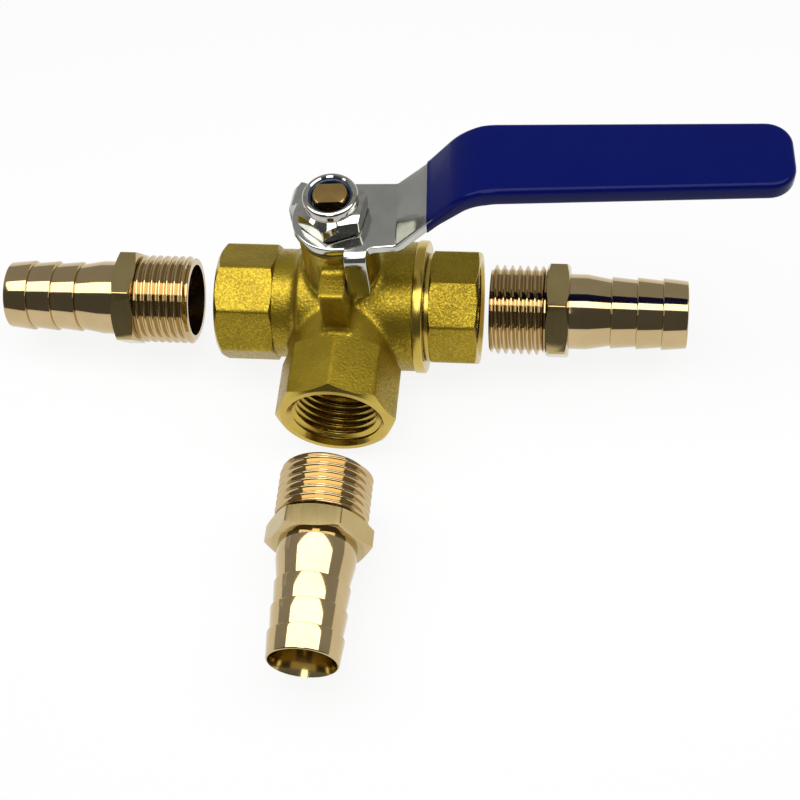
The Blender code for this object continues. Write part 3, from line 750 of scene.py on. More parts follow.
    def _bevel(self, geometry: list[Any], setback: float, segments: int, affect: str) -> None:
        """Round off edges or corners.

        Args:
            geometry: The edges or corners.
            setback: How far from them the rounding starts.
            segments: Steps of the rounding.
            affect: EDGES or VERTICES.
        """
        bmesh.ops.bevel(
            self.form,
            geom=geometry,
            offset=setback,
            offset_type="OFFSET",
            segments=segments,
            profile=0.5,
            affect=affect,
            material=-1,
            clamp_overlap=True,
        )

    def _closed(self) -> Shape:
        """Weld the form's seams and point its faces outwards.

        Returns:
            The form itself.
        """
        bmesh.ops.remove_doubles(self.form, verts=self.form.verts, dist=WELD)
        bmesh.ops.recalc_face_normals(self.form, faces=self.form.faces)
        return self._paint()

    def release(self) -> bpy.types.Mesh:
        """Use the form up as a mesh with a slot for each finish.

        Returns:
            The mesh.
        """
        mesh = bpy.data.meshes.new("form")
        self.form.to_mesh(mesh)
        self.form.free()
        for _ in Surface:
            mesh.materials.append(None)
        return mesh

    def _object(self) -> bpy.types.Object:
        """Use the form up as an object, for a while.

        Returns:
            The object.
        """
        item = bpy.data.objects.new("form", self.release())
        bpy.context.scene.collection.objects.link(item)
        return item

    def _read(self, item: bpy.types.Object) -> None:
        """Take the form back from an object, with its modifiers applied.

        Args:
            item: The object; it is removed.
        """
        graph = bpy.context.evaluated_depsgraph_get()
        mesh = bpy.data.meshes.new_from_object(item.evaluated_get(graph))
        self.form = bmesh.new()
        self.form.from_mesh(mesh)
        for spent in (mesh, item.data):
            bpy.data.meshes.remove(spent)

    def _combine(self, operation: Operation, others: Sequence[Shape]) -> Shape:
        """Combine this form with others, one after another.

        Args:
            operation: How to combine them.
            others: The other forms; they are used up.

        Returns:
            The form itself.
        """
        for other in others:
            base, tool = self._object(), other._object()
            modifier = base.modifiers.new("Combine", "BOOLEAN")
            modifier.operation = operation.value
            modifier.solver = "MANIFOLD"
            modifier.material_mode = "INDEX"
            modifier.object = tool
            self._read(base)
            bpy.data.meshes.remove(tool.data)
        return self


@dataclass(frozen=True)
class PipeThread:
    """Half inch parallel pipe thread, in millimetres."""

    major: float = 20.955
    minor: float = 18.631
    pitch: float = 1.814
    crest: float = 0.38
    root: float = 0.36
    rounding: float = 0.13
    length: float = 13.0
    play: float = 0.12


@dataclass(frozen=True)
class Finishes:
    """The materials, made once."""

    blasted: bpy.types.Material
    bored: bpy.types.Material
    turned_x: bpy.types.Material
    turned_y: bpy.types.Material
    turned_z: bpy.types.Material
    drawn: bpy.types.Material
    steel: bpy.types.Material
    plate: bpy.types.Material
    chrome: bpy.types.Material
    vinyl: bpy.types.Material
    nylon: bpy.types.Material
    ptfe: bpy.types.Material
    rubber: bpy.types.Material

    @classmethod
    def mixed(cls) -> Finishes:
        """Make every material.

        Returns:
            The set of materials.
        """
        return cls(
            blasted=BlastedBrass().material(),
            bored=TurnedBrass("brass_bored", 0, (0.66, 0.49, 0.105), (0.50, 0.35, 0.06), roughness=0.2).material(),
            turned_x=TurnedBrass("brass_turned_x", 0).material(),
            turned_y=TurnedBrass("brass_turned_y", 1).material(),
            turned_z=TurnedBrass(
                "brass_turned_z", 2, (0.50, 0.33, 0.115), (0.38, 0.24, 0.08), roughness=0.25
            ).material(),
            drawn=TurnedBrass("brass_drawn", 0, (0.54, 0.425, 0.19), (0.45, 0.345, 0.145), roughness=0.12).material(),
            steel=SatinSteel().material(),
            plate=BrightPlate("steel_bright").material(),
            chrome=BrightPlate("ball_chrome", patch_size=8.0, depth=0.004, roughness=0.05).material(),
            vinyl=DippedVinyl().material(),
            nylon=MouldedPlastic("nylon_ring", (0.004, 0.013, 0.035), (0.01, 0.03, 0.065), 0.3).material(),
            ptfe=MouldedPlastic("ptfe_turned", (0.80, 0.80, 0.78), (0.86, 0.86, 0.85), 0.45).material(),
            rubber=MouldedPlastic("rubber_moulded", (0.012, 0.012, 0.012), (0.03, 0.03, 0.03), 0.55).material(),
        )


@dataclass(frozen=True)
class Bench:
    """Puts finished shapes into the frame."""

    centre: Vector

    def piece(
        self,
        shape: Shape,
        name: str,
        body: Body,
        slot: str,
        materials: Sequence[bpy.types.Material],
        *nodes: str,
    ) -> bpy.types.Object:
        """Make a piece of the valve.

        Args:
            shape: Its form; it is used up.
            name: The piece's name.
            body: The body it rides on.
            slot: The record's material slot; not used.
            materials: Its finishes: raw first, then machined.
            nodes: The nodes it stands for.

        Returns:
            The piece.
        """
        shape.move(Matrix.Translation(self.centre) @ Matrix.Scale(MM, 4))
        mesh = shape.release()
        mesh.name = name
        for surface, material in zip(Surface, materials):
            mesh.materials[surface.value] = material
        mesh.shade_smooth()
        mesh.set_sharp_from_angle(angle=SHARP_ANGLE)
        item = bpy.data.objects.new(name, mesh)
        bpy.context.scene.collection.objects.link(item)
        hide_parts(*nodes)
        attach(item, body.value)
        LOG.info("%s: %d faces on %s", name, len(mesh.polygons), body.value)
        return item


@dataclass(frozen=True)
class PortWork:
    """What is machined at every port: the flats' end, the lead, the thread and the flow bore."""

    thread: PipeThread = field(default_factory=PipeThread)
    flats: float = 26.0
    sides: int = 8
    edge: float = 0.55
    chamfer: float = 1.0
    inner_chamfer: float = 0.2
    slope: float = 1.0
    lead: float = 0.8
    spare: float = 0.6
    seat_play: float = 0.3
    flow_bore: float = 12.4
    stock: float = 1.6

    @property
    def depth(self) -> float:
        """Depth of the threaded bore."""
        return self.thread.length + self.spare

    def end_profile(self, face: float, chamfer: float) -> list[Point]:
        """Turned line of a flatted end: its face and the cone that takes the corners off."""
        corner = corner_radius(self.flats, self.sides) + self.slope
        return [(self.flats / 2.0 - chamfer / 2.0, face), (corner, face - chamfer - self.slope)]

    def octagon(self, face: float, inner: float, chamfer: float) -> Shape:
        """The flats of a port, turned off at its face.

        Args:
            face: Distance of the port's face from the ball.
            inner: Distance of the flats' inner end.
            chamfer: Chamfer at the face.

        Returns:
            The flats' form.
        """
        outer_end, outer_corner = self.end_profile(face, chamfer)
        inner_end, inner_corner = self.end_profile(inner, self.inner_chamfer)
        low, high, wide = inner - self.stock, face + self.stock, outer_corner[0]
        raw = [(0.0, high), (wide, high), (wide, 2.0 * inner - inner_corner[1]), inner_end, (0.0, inner)]
        faced = [(0.0, face), outer_end, outer_corner, (wide, low), (0.0, low)]
        flats = Shape.prism(self.sides, self.flats, low, high, self.edge)
        return flats.keep(Shape.turned(raw, surface=Surface.RAW), Shape.turned(faced))

    def drill(self, port: Port, face: float, inner: Profile) -> Shape:
        """Cutter for the bore, at the thread's inner diameter, with its lead.

        Args:
            port: The port.
            face: Distance of its face from the ball.
            inner: The rest of the bore's line, from the flow bore inwards.

        Returns:
            The cutter.
        """
        bore = self.thread.minor / 2.0 + self.thread.play
        mouth = self.thread.major / 2.0 + self.lead
        over = self.stock
        profile = [(0.0, face + over), (mouth + over, face + over), (bore, face - mouth + bore)]
        profile += [(bore, face - self.depth), (self.flow_bore / 2.0, face - self.depth), *inner]
        return Shape.turned(profile).move(port.outward())

    def tap(self, port: Port, face: float) -> Shape:
        """Cutter for the internal thread, in step with a seated hose tail.

        Args:
            port: The port.
            face: Distance of its face from the ball.

        Returns:
            The cutter.
        """
        seated = face - self.thread.length + self.seat_play
        cutter = Shape.thread(self.thread, seated - face - self.stock, self.spare - self.seat_play, self.thread.play)
        return cutter.move(port.inward(seated))


@dataclass(frozen=True)
class ValveBody:
    """Forged body: chamber with a turned rim, two flatted ports, stem neck and stop lug."""

    ports: PortWork
    left_face: float = 30.4
    front_face: float = 32.4
    rim_face: float = 18.8
    rim_width: float = 2.4
    rim_radius: float = 15.69
    rim_edge: float = 0.35
    chamber_radius: float = 15.3
    chamber_left: float = 10.3
    chamber_bore: float = 12.0
    arm_radius: float = 12.9
    arm_slope: float = 1.2
    left_flats: float = 13.8
    front_flats: float = 14.9
    seat_pocket: float = 8.1
    seat_front: float = 7.9
    seat_back: float = 11.7
    neck_radius: float = 8.6
    neck_top: float = 29.895
    neck_edge: float = 0.5
    lug_width: float = 5.8
    lug_front: float = 16.2
    lug_top: float = 25.795
    stem_bore: Profile = ((6.3, 18.85), (4.3, 18.85), (4.3, 14.2), (5.8, 14.2))
    voxel: float = 0.4
    fillet: float = 1.0
    smoothing: int = 3
    overlap: float = 2.0

    def forging(self) -> Shape:
        """The raw forging, with stock left where it is machined.

        Returns:
            The forging's form.
        """
        ports = self.ports
        left_end = self.left_face - self.left_flats
        front_end = self.front_face - self.front_flats
        chamber = Shape.turned(
            [
                (0.0, self.rim_face - self.overlap),
                (self.chamber_radius, self.rim_face - self.overlap),
                (self.chamber_radius, -self.chamber_left),
                (self.arm_radius, -self.chamber_left - self.arm_slope),
                (self.arm_radius, -left_end - self.overlap),
                (0.0, -left_end - self.overlap),
            ],
            surface=Surface.RAW,
        ).move(Port.RIGHT.outward())
        arm = Shape.rod(self.arm_radius, 0.0, front_end + self.overlap).move(Port.FRONT.outward())
        neck = Shape.rod(self.neck_radius, 0.0, self.neck_top + ports.stock)
        lug = Shape.block((-self.lug_width / 2.0, -self.lug_front, 0.0), (self.lug_width / 2.0, 0.0, self.lug_top))
        return chamber.gather(arm, neck, lug).forged(self.voxel, self.fillet, self.smoothing).join(
            ports.octagon(self.left_face, left_end, ports.chamfer).move(Port.LEFT.outward()),
            ports.octagon(self.front_face, front_end, ports.chamfer).move(Port.FRONT.outward()),
        )

    def build(self) -> Shape:
        """Machine the forging.

        Returns:
            The body's form.
        """
        edges = {1: self.rim_edge, 2: self.rim_edge}
        rim = Shape.rod(self.rim_radius, self.rim_face - self.rim_width, self.rim_face, rounds=edges)
        body = self.forging().join(rim.move(Port.RIGHT.outward()))
        top = self.neck_radius + self.ports.stock
        neck_cut = [
            (0.0, self.neck_top),
            (self.neck_radius - self.neck_edge, self.neck_top),
            (top, self.neck_top - top + self.neck_radius - self.neck_edge),
            (top, self.neck_top + top),
            (0.0, self.neck_top + top),
        ]
        seat = [
            (self.ports.flow_bore / 2.0, self.seat_back),
            (self.seat_pocket, self.seat_back),
            (self.seat_pocket, self.seat_front),
        ]
        past = -self.rim_face - self.overlap
        chamber = [*seat, (self.chamber_bore, self.seat_front), (self.chamber_bore, past), (0.0, past)]
        over = self.neck_top + self.overlap
        stem = [(0.0, over), (self.stem_bore[0][0], over), *self.stem_bore, (self.stem_bore[-1][0], 0.0), (0.0, 0.0)]
        return body.cut(
            Shape.turned(neck_cut),
            self.ports.drill(Port.LEFT, self.left_face, chamber),
            self.ports.drill(Port.FRONT, self.front_face, [*seat, (0.0, self.seat_front)]),
            self.ports.tap(Port.LEFT, self.left_face),
            self.ports.tap(Port.FRONT, self.front_face),
            Shape.turned(stem),
        )


@dataclass(frozen=True)
class EndCap:
    """Right port: octagon, groove and spigot."""

    ports: PortWork
    face: float = 31.2
    flats_start: float = 19.9
    shoulder: float = 19.1
    neck_radius: float = 12.8
    chamfer: float = 0.2
    spigot_radius: float = 11.7
    spigot_end: float = 11.7
    seal_groove: Profile = ((11.7, 16.8), (10.55, 16.8), (10.55, 15.2), (11.7, 15.2))
    turn: float = math.radians(10.2)
    overlap: float = 1.0

    def build(self) -> Shape:
        """Turn and bore the cap.

        Returns:
            The cap's form.
        """
        ports = self.ports
        octagon = ports.octagon(self.face, self.flats_start, self.chamfer).move(Port.RIGHT.outward(self.turn))
        neck = [
            (0.0, self.flats_start + self.overlap),
            (self.neck_radius, self.flats_start + self.overlap),
            (self.neck_radius, self.shoulder),
            (self.spigot_radius, self.shoulder),
            *self.seal_groove,
            (self.spigot_radius, self.spigot_end),
            (0.0, self.spigot_end),
        ]
        bottom = self.spigot_end - self.overlap
        bore = [(ports.flow_bore / 2.0, bottom), (0.0, bottom)]
        return octagon.join(Shape.turned(neck).move(Port.RIGHT.outward())).cut(
            ports.drill(Port.RIGHT, self.face, bore),
            ports.tap(Port.RIGHT, self.face),
        )


@dataclass(frozen=True)
class HoseTail:
    """Hose tail: threaded end, hexagon and barbs, bored through. Height 0 is its threaded end."""

    thread: PipeThread = field(default_factory=PipeThread)
    lead: float = 0.6
    relief: float = 0.3
    hex_flats: float = 21.0
    hex_sides: int = 6
    hex_length: float = 5.4
    hex_edge: float = 0.3
    hex_chamfer: float = 0.35
    barb_length: float = 27.2
    barb_radius: float = 8.4
    neck_radius: float = 8.8
    neck_length: float = 4.0
    step: float = 0.55
    step_round: float = 0.12
    teeth: int = 3
    tooth_pitch: float = 5.9
    end_round: float = 0.3
    bore: float = 6.5
    hose_mouth: float = 7.5
    hose_mouth_depth: float = 3.0
    mouth: float = 8.5
    mouth_depth: float = 11.0
    overlap: float = 1.0

    def threaded_end(self) -> Shape:
        """The thread, with a lead at its start and a relief at the hexagon.

        Returns:
            The threaded end's form.
        """
        crest, root = self.thread.major / 2.0, self.thread.minor / 2.0
        bottom = -self.thread.length
        limit = [
            (0.0, 0.0),
            (crest - self.lead, 0.0),
            (crest + self.lead, -2.0 * self.lead),
            (crest + self.lead, bottom + self.relief + self.lead),
            (root, bottom + self.relief),
            (root, bottom - self.overlap),
            (0.0, bottom - self.overlap),
        ]
        bar = Shape.thread(self.thread, bottom - 2.0 * self.overlap, self.overlap)
        return bar.keep(Shape.turned(limit))

    def hexagon(self) -> Shape:
        """The hexagon, its corners turned off at both ends.

        Returns:
            The hexagon's form.
        """
        high = -self.thread.length
        low = high - self.hex_length
        corner = corner_radius(self.hex_flats, self.hex_sides) + self.overlap
        end = self.hex_flats / 2.0 - self.hex_chamfer / 2.0
        drop = self.hex_chamfer + self.overlap
        limit = [(0.0, high), (end, high), (corner, high - drop), (corner, low + drop), (end, low), (0.0, low)]
        return Shape.prism(self.hex_sides, self.hex_flats, low, high, self.hex_edge).keep(Shape.turned(limit))

    def barbs(self) -> Shape:
        """The hose end with its teeth.

        Returns:
            The hose end's form.
        """
        start = -self.thread.length - self.hex_length
        end = start - self.barb_length
        valley = self.barb_radius - self.step
        first = end + self.teeth * self.tooth_pitch
        profile = [
            (0.0, start + self.overlap),
            (self.neck_radius, start + self.overlap),
            (self.neck_radius, start - self.neck_length),
        ]
        rounds = {}
        for tooth in range(self.teeth):
            place = first - tooth * self.tooth_pitch
            profile.append((valley, place))
            rounds[len(profile)] = self.step_round
            profile.append((self.barb_radius, place - self.step / 3.0))
        rounds[len(profile)] = self.end_round
        profile += [(valley, end), (0.0, end)]
        return Shape.turned(profile, rounds)

    def bore_cut(self) -> Shape:
        """The bore, wider at the threaded end and countersunk at the hose end.

        Returns:
            The cutter.
        """
        end = -self.thread.length - self.hex_length - self.barb_length
        past = end - self.overlap
        funnel = -self.mouth_depth - self.mouth + self.bore
        profile = [(0.0, self.overlap), (self.mouth, self.overlap), (self.mouth, -self.mouth_depth)]
        profile += [(self.bore, funnel), (self.bore, end + self.hose_mouth_depth)]
        profile += [(self.hose_mouth, end), (self.hose_mouth, past), (0.0, past)]
        return Shape.turned(profile, surface=Surface.RAW)

    def build(self, port: Port, distance: float) -> Shape:
        """Make the tail in line with a port, its threaded end at a distance from the ball."""
        tail = self.threaded_end().join(self.hexagon(), self.barbs()).cut(self.bore_cut())
        return tail.move(port.inward(distance))


@dataclass(frozen=True)
class BentLine:
    """A line in the X-Z plane that starts level: straight runs and round bends."""

    start: tuple[float, float]
    runs: tuple[tuple[float, float], ...]
    spacing: float = 0.6

    def point(self, along: float, offset: float) -> tuple[float, float]:
        """A point beside the line.

        Args:
            along: Distance along the line from its start.
            offset: Distance to the line's upper side.

        Returns:
            The point as (x, z).
        """
        x, z = self.start
        heading = 0.0
        for number, (length, turn) in enumerate(self.runs):
            last = number == len(self.runs) - 1
            part = along if last else min(along, length)
            swept = turn * part / length
            if turn:
                radius = length / turn
                x += radius * (math.sin(heading + swept) - math.sin(heading))
                z += radius * (math.cos(heading) - math.cos(heading + swept))
            else:
                x += part * math.cos(heading)
                z += part * math.sin(heading)
            heading += swept
            along -= part
            if along <= 0.0:
                break
        return x - offset * math.sin(heading), z + offset * math.cos(heading)

    def bends(self) -> list[float]:
        """Places along the line where a blank needs edges to follow its bends.

        Returns:
            The places, from the start on.
        """
        places, at = [], 0.0
        for length, turn in self.runs:
            if turn:
                count = math.ceil(length / self.spacing)
                places += [at + length * step / count for step in range(count + 1)]
            at += length
        return places

    def bend(self, blank: Shape) -> Shape:
        """Bend a flat blank along the line.

        Args:
            blank: The blank; its X is the distance along the line.

        Returns:
            The blank itself.
        """
        blank.slice(self.bends())
        for corner in blank.form.verts:
            corner.co.x, corner.co.z = self.point(corner.co.x, corner.co.z)
        return blank


def arc(centre: Point, radius: float, start: float, end: float, steps: int) -> list[Point]:
    """Points (x, y) on an arc from one angle to another, both ends included."""
    angles = [start + (end - start) * step / steps for step in range(steps + 1)]
    return [(centre[0] + radius * math.cos(a), centre[1] + radius * math.sin(a)) for a in angles]


@dataclass(frozen=True)
class Lever:
    """Bent lever strip with a flatted eye and two stop tabs; it points along +X before its turn."""

    bottom: float = 31.695
    thickness: float = 2.2
    reach: float = 97.0
    eye_radius: float = 9.4
    waist_at: float = 22.25
    waist: float = 8.6
    tip: float = 7.6
    tip_corner: float = 4.5
    rise_at: float = 14.3
    rise_angle: float = math.radians(45.0)
    rise_height: float = 17.2
    rise_bend: float = 2.5
    grip_bend: float = 12.0
    droop: float = math.radians(1.8)
    edge: float = 0.5
    edge_steps: int = 4
    hole_radius: float = 4.2
    hole_flats: float = 5.7
    tab_width: float = 4.9
    rest_tab_face: float = 10.1
    swung_tab_face: float = 8.9
    tab_drop: float = 11.9
    tab_bend: float = 1.6
    tab_root: float = 4.0
    tab_fillet: float = 1.6
    tab_fillet_at: float = 5.0
    lug_width: float = 5.8
    play: float = 0.3
    turn: float = math.radians(4.0)
    swing: float = math.radians(90.0)
    eye_steps: int = 64
    corner_steps: int = 10

    @property
    def middle(self) -> float:
        """Height of the strip's middle plane at the eye."""
        return self.bottom + self.thickness / 2.0

    @property
    def runs(self) -> tuple[tuple[float, float], ...]:
        """Straight runs and bends from the stem's axis to the tip.

        Returns:
            The runs as (length, turn).
        """
        fall = self.rise_angle + self.droop
        rise = self.rise_height / math.sin(self.rise_angle)
        first = self.rise_bend * math.tan(self.rise_angle / 2.0)
        second = self.grip_bend * math.tan(fall / 2.0)
        grip = (self.reach - self.rise_at - self.rise_height / math.tan(self.rise_angle)) / math.cos(self.droop)
        return (
            (self.rise_at - first, 0.0),
            (self.rise_bend * self.rise_angle, self.rise_angle),
            (rise - first - second, 0.0),
            (self.grip_bend * fall, -fall),
            (grip - second, 0.0),
        )

    @property
    def length(self) -> float:
        """Length of the strip from the stem's axis to its tip."""
        return sum(length for length, _ in self.runs)

    @property
    def line(self) -> BentLine:
        """The strip's middle line."""
        return BentLine((0.0, self.middle), self.runs)

    def tip_outline(self, growth: float, reach: float) -> list[Point]:
        """Outline of the grip's tip from its right corner round to its left corner.

        Args:
            growth: How much wider than the strip it is on each side.
            reach: Distance of the tip along the strip.

        Returns:
            The points as (distance along, sideways).
        """
        half, corner = self.tip + growth, self.tip_corner + growth
        steps = self.corner_steps
        outline = arc((reach - corner, corner - half), corner, -math.pi / 2.0, 0.0, steps)
        return outline + arc((reach - corner, half - corner), corner, 0.0, math.pi / 2.0, steps)

    def half_width(self, along: float) -> float:
        """Half the grip's width at a distance along the strip, past the waist."""
        share = (along - self.waist_at) / (self.length - self.tip_corner - self.waist_at)
        return self.waist + (self.tip - self.waist) * share

    def blank(self, growth: float = 0.0, edge: float | None = None) -> Shape:
        """The flat strip from its eye to its tip.

        Args:
            growth: How much larger it is on every side, for cutting the sleeve's pocket.
            edge: Setback of its rounded edges, if it isn't the usual one.

        Returns:
            The blank's form.
        """
        eye, waist = self.eye_radius + growth, self.waist + growth
        distance = math.hypot(self.waist_at, waist)
        tangent = math.atan2(waist, self.waist_at) + math.acos(min(1.0, eye / distance))
        outline = arc((0.0, 0.0), eye, tangent, 2.0 * math.pi - tangent, self.eye_steps)
        outline.append((self.waist_at, -waist))
        outline += self.tip_outline(growth, self.length + growth)
        outline.append((self.waist_at, waist))
        setback = self.edge if edge is None else edge
        return Shape.sheet(outline, self.thickness + 2.0 * growth, setback, self.edge_steps)

    def tab(self, face: float, side: float, turn: float) -> Shape:
        """A stop tab bent down from the eye.

        Args:
            face: Distance of its inner face from the stem's axis.
            side: +1 or -1: which side of the tab meets the lug.
            turn: Turn of the tab about the stem.

        Returns:
            The tab's form.
        """
        near = (self.lug_width / 2.0 + self.play - face * math.sin(self.turn)) / math.cos(self.turn)
        half = self.tab_width / 2.0
        run = face + self.thickness / 2.0 - self.tab_bend - self.tab_root
        curve = self.tab_bend * math.pi / 2.0
        drop = self.tab_drop + self.thickness / 2.0 - self.tab_bend
        line = BentLine((self.tab_root, self.middle), ((run, 0.0), (curve, -math.pi / 2.0), (drop, 0.0)))
        end = run + curve + drop
        fillet = (self.tab_fillet_at + self.tab_fillet, half + self.tab_fillet)
        outline = [(0.0, -half)]
        outline += arc((end - half, 0.0), half, -math.pi / 2.0, math.pi / 2.0, 2 * self.corner_steps)
        outline += arc(fillet, self.tab_fillet, -math.pi / 2.0, -math.pi, self.corner_steps)
        outline.append((0.0, half))
        outline = [(along, side * aside) for along, aside in outline]
        tab = line.bend(Shape.sheet(outline, self.thickness, self.edge, self.edge_steps))
        aside = Matrix.Translation((0.0, side * (near + half), 0.0))
        return tab.move(Matrix.Rotation(turn - math.pi / 2.0, 4, "Z") @ aside)

    def build(self) -> Shape:
        """Bend the strip, add its tabs and punch its eye.

        Returns:
            The lever's form.
        """
        strip = self.line.bend(self.blank())
        past = self.eye_radius
        hole = Shape.rod(self.hole_radius, self.bottom - self.thickness, self.bottom + 2.0 * self.thickness)
        half = self.hole_flats / 2.0
        hole.keep(Shape.block((-past, -half, 0.0), (past, half, self.bottom + past)))
        rest = self.tab(self.rest_tab_face, 1.0, 0.0)
        swung = self.tab(self.swung_tab_face, -1.0, -self.swing - 2.0 * self.turn)
        return strip.join(rest, swung).cut(hole).move(Matrix.Rotation(self.turn, 4, "Z"))


@dataclass(frozen=True)
class GripSleeve:
    """Dipped sleeve round the grip, closed at the tip and thinner towards its open end."""

    lever: Lever
    wall: float = 1.25
    thin_wall: float = 0.4
    thin_length: float = 14.0
    thin_steps: int = 14
    start_up: float = 12.0
    tip: float = 1.76
    edge: float = 1.25
    edge_steps: int = 5
    pocket_play: float = 0.12
    overlap: float = 10.0

    @property
    def start(self) -> float:
        """Place of its open end, from how far up the rise that is.

        Returns:
            The distance along the strip.
        """
        lever = self.lever
        bend = lever.rise_bend * (lever.rise_angle - 2.0 * math.tan(lever.rise_angle / 2.0))
        return lever.rise_at + bend + self.start_up

    def thin(self, sleeve: Shape) -> None:
        """Thin the wall towards the open end.

        Args:
            sleeve: The sleeve's form, still flat.
        """
        start, steps = self.start, self.thin_steps
        sleeve.slice([start + self.thin_length * step / steps for step in range(steps + 1)])
        for corner in sleeve.form.verts:
            share = min(max(1.0 - (corner.co.x - start) / self.thin_length, 0.0), 1.0)
            less = share * (self.wall - self.thin_wall)
            corner.co.y -= math.copysign(less, corner.co.y)
            corner.co.z -= math.copysign(less, corner.co.z)

    def build(self) -> Shape:
        """Form the sleeve round the bent strip.

        Returns:
            The sleeve's form.
        """
        lever, start, past = self.lever, self.start, self.overlap
        thickness = lever.thickness + 2.0 * self.wall
        half = lever.half_width(start - past) + self.wall
        outline = [(start - past, half), (start - past, -half)]
        outline += lever.tip_outline(self.wall, lever.length + self.tip)
        sleeve = Shape.sheet(outline, thickness, self.edge, self.edge_steps)
        self.thin(sleeve)
        end, top = lever.line.point(start, thickness / 2.0)
        level = Shape.block((end - 2.0 * past, -2.0 * half, top - 2.0 * past), (end, 2.0 * half, top + past))
        pocket = lever.line.bend(lever.blank(self.pocket_play, 0.0))
        return lever.line.bend(sleeve).cut(pocket, level).move(Matrix.Rotation(lever.turn, 4, "Z"))


@dataclass(frozen=True)
class LockNut:
    """Hexagon lock nut with a collar, and the nylon ring held in it."""

    bottom: float = 34.195
    flats: float = 14.0
    sides: int = 6
    turn: float = math.radians(22.0)
    hex_height: float = 5.2
    slope: float = math.radians(38.0)
    collar_height: float = 2.4
    collar_radius: float = 6.2
    collar_round: float = 0.9
    lip: float = 0.5
    lip_radius: float = 4.8
    hole_radius: float = 4.2
    insert_radius: float = 4.95
    insert_height: float = 2.0
    insert_round: float = 0.5
    play: float = 0.12
    edge: float = 0.25
    overlap: float = 1.0

    @property
    def hex_top(self) -> float:
        """Height where the collar starts."""
        return self.bottom + self.hex_height

    @property
    def top(self) -> float:
        """Height of the collar's top."""
        return self.hex_top + self.collar_height

    @property
    def insert_floor(self) -> float:
        """Height of the nylon ring's underside."""
        return self.top - self.lip - self.insert_height

    def build(self) -> Shape:
        """Make the nut.

        Returns:
            The nut's form.
        """
        corner = corner_radius(self.flats, self.sides)
        rise = (corner - self.collar_radius) * math.tan(self.slope)
        limit = [
            (0.0, self.hex_top + self.overlap),
            (self.collar_radius, self.hex_top),
            (corner + self.edge, self.hex_top - rise),
            (corner + self.edge, self.bottom + rise / 2.0),
            (self.flats / 2.0 - self.edge, self.bottom),
            (0.0, self.bottom),
        ]
        nut = Shape.prism(self.sides, self.flats, self.bottom, self.hex_top, self.edge)
        nut.keep(Shape.turned(limit, surface=Surface.RAW))
        low, rounds = self.hex_top - self.overlap, {1: self.collar_round}
        nut.join(Shape.rod(self.collar_radius, low, self.top, Surface.RAW, rounds))
        pocket = self.insert_radius + self.play
        bore = [
            (0.0, self.top + self.overlap),
            (self.lip_radius + self.overlap, self.top + self.overlap / 2.0),
            (self.lip_radius, self.top - self.lip / 2.0),
            (self.lip_radius, self.top - self.lip),
            (pocket, self.top - self.lip),
            (pocket, self.insert_floor),
            (self.hole_radius, self.insert_floor),
            (self.hole_radius, self.bottom - self.overlap),
            (0.0, self.bottom - self.overlap),
        ]
        return nut.cut(Shape.turned(bore, surface=Surface.RAW)).move(Matrix.Rotation(self.turn, 4, "Z"))

    def insert(self) -> Shape:
        """The nylon ring.

        Returns:
            The ring's form.
        """
        high = self.top - self.lip - self.play
        low = self.insert_floor + self.play
        outer, inner = self.insert_radius, self.hole_radius
        ring = [(outer, high), (outer, low), (inner, low), (inner, high)]
        return Shape.turned(ring, {3: self.insert_round}, hollow=True, surface=Surface.RAW)


@dataclass(frozen=True)
class Stem:
    """Stem with tang, flange, ring groove and a flatted threaded end."""

    top: float = 42.1
    thread_radius: float = 3.9
    radius: float = 4.0
    shoulder: float = 31.395
    groove: Profile = ((4.0, 17.2), (3.0, 17.2), (3.0, 15.8), (4.0, 15.8))
    flange_radius: float = 5.5
    flange_top: float = 12.8
    flange_bottom: float = 10.8
    tang: tuple[float, float] = (8.0, 4.4)
    tang_bottom: float = 7.6
    flats: float = 5.1
    end_round: float = 0.6
    overlap: float = 1.0
    turn: float = math.radians(4.0)

    def build(self) -> Shape:
        """Turn the stem and mill its flats.

        Returns:
            The stem's form.
        """
        profile = [
            (0.0, self.top),
            (self.thread_radius, self.top),
            (self.thread_radius, self.shoulder),
            (self.radius, self.shoulder),
            *self.groove,
            (self.radius, self.flange_top),
            (self.flange_radius, self.flange_top),
            (self.flange_radius, self.flange_bottom),
            (0.0, self.flange_bottom),
        ]
        stem = Shape.turned(profile, {1: self.end_round})
        long, wide = self.tang[0] / 2.0, self.tang[1] / 2.0
        stem.join(Shape.block((-long, -wide, self.tang_bottom), (long, wide, self.flange_bottom + self.overlap)))
        past, flat = self.flange_radius, self.flats / 2.0
        for near, far in ((-past, -flat), (flat, past)):
            low, high = (-past, near, self.shoulder), (past, far, self.top + self.overlap)
            stem.cut(Shape.block(low, high, Surface.MACHINED))
        return stem.move(Matrix.Rotation(self.turn, 4, "Z"))


@dataclass(frozen=True)
class Ball:
    """Ball with an L-shaped bore and a slot for the stem's tang."""

    radius: float = 10.5
    bore: float = 5.75
    slot_width: float = 5.0
    slot_floor: float = 7.3
    overlap: float = 1.0
    turn: float = math.radians(4.0)

    def build(self) -> Shape:
        """Bore the ball.

        Returns:
            The ball's form.
        """
        past = self.radius + self.overlap
        half = self.slot_width / 2.0
        ball = Shape.ball(self.radius).cut(
            Shape.rod(self.bore, -self.bore, past).move(Port.FRONT.outward()),
            Shape.rod(self.bore, 0.0, past).move(Port.LEFT.outward()),
            Shape.block((-past, -half, self.slot_floor), (past, half, past), Surface.MACHINED),
        )
        return ball.move(Matrix.Rotation(self.turn, 4, "Z"))


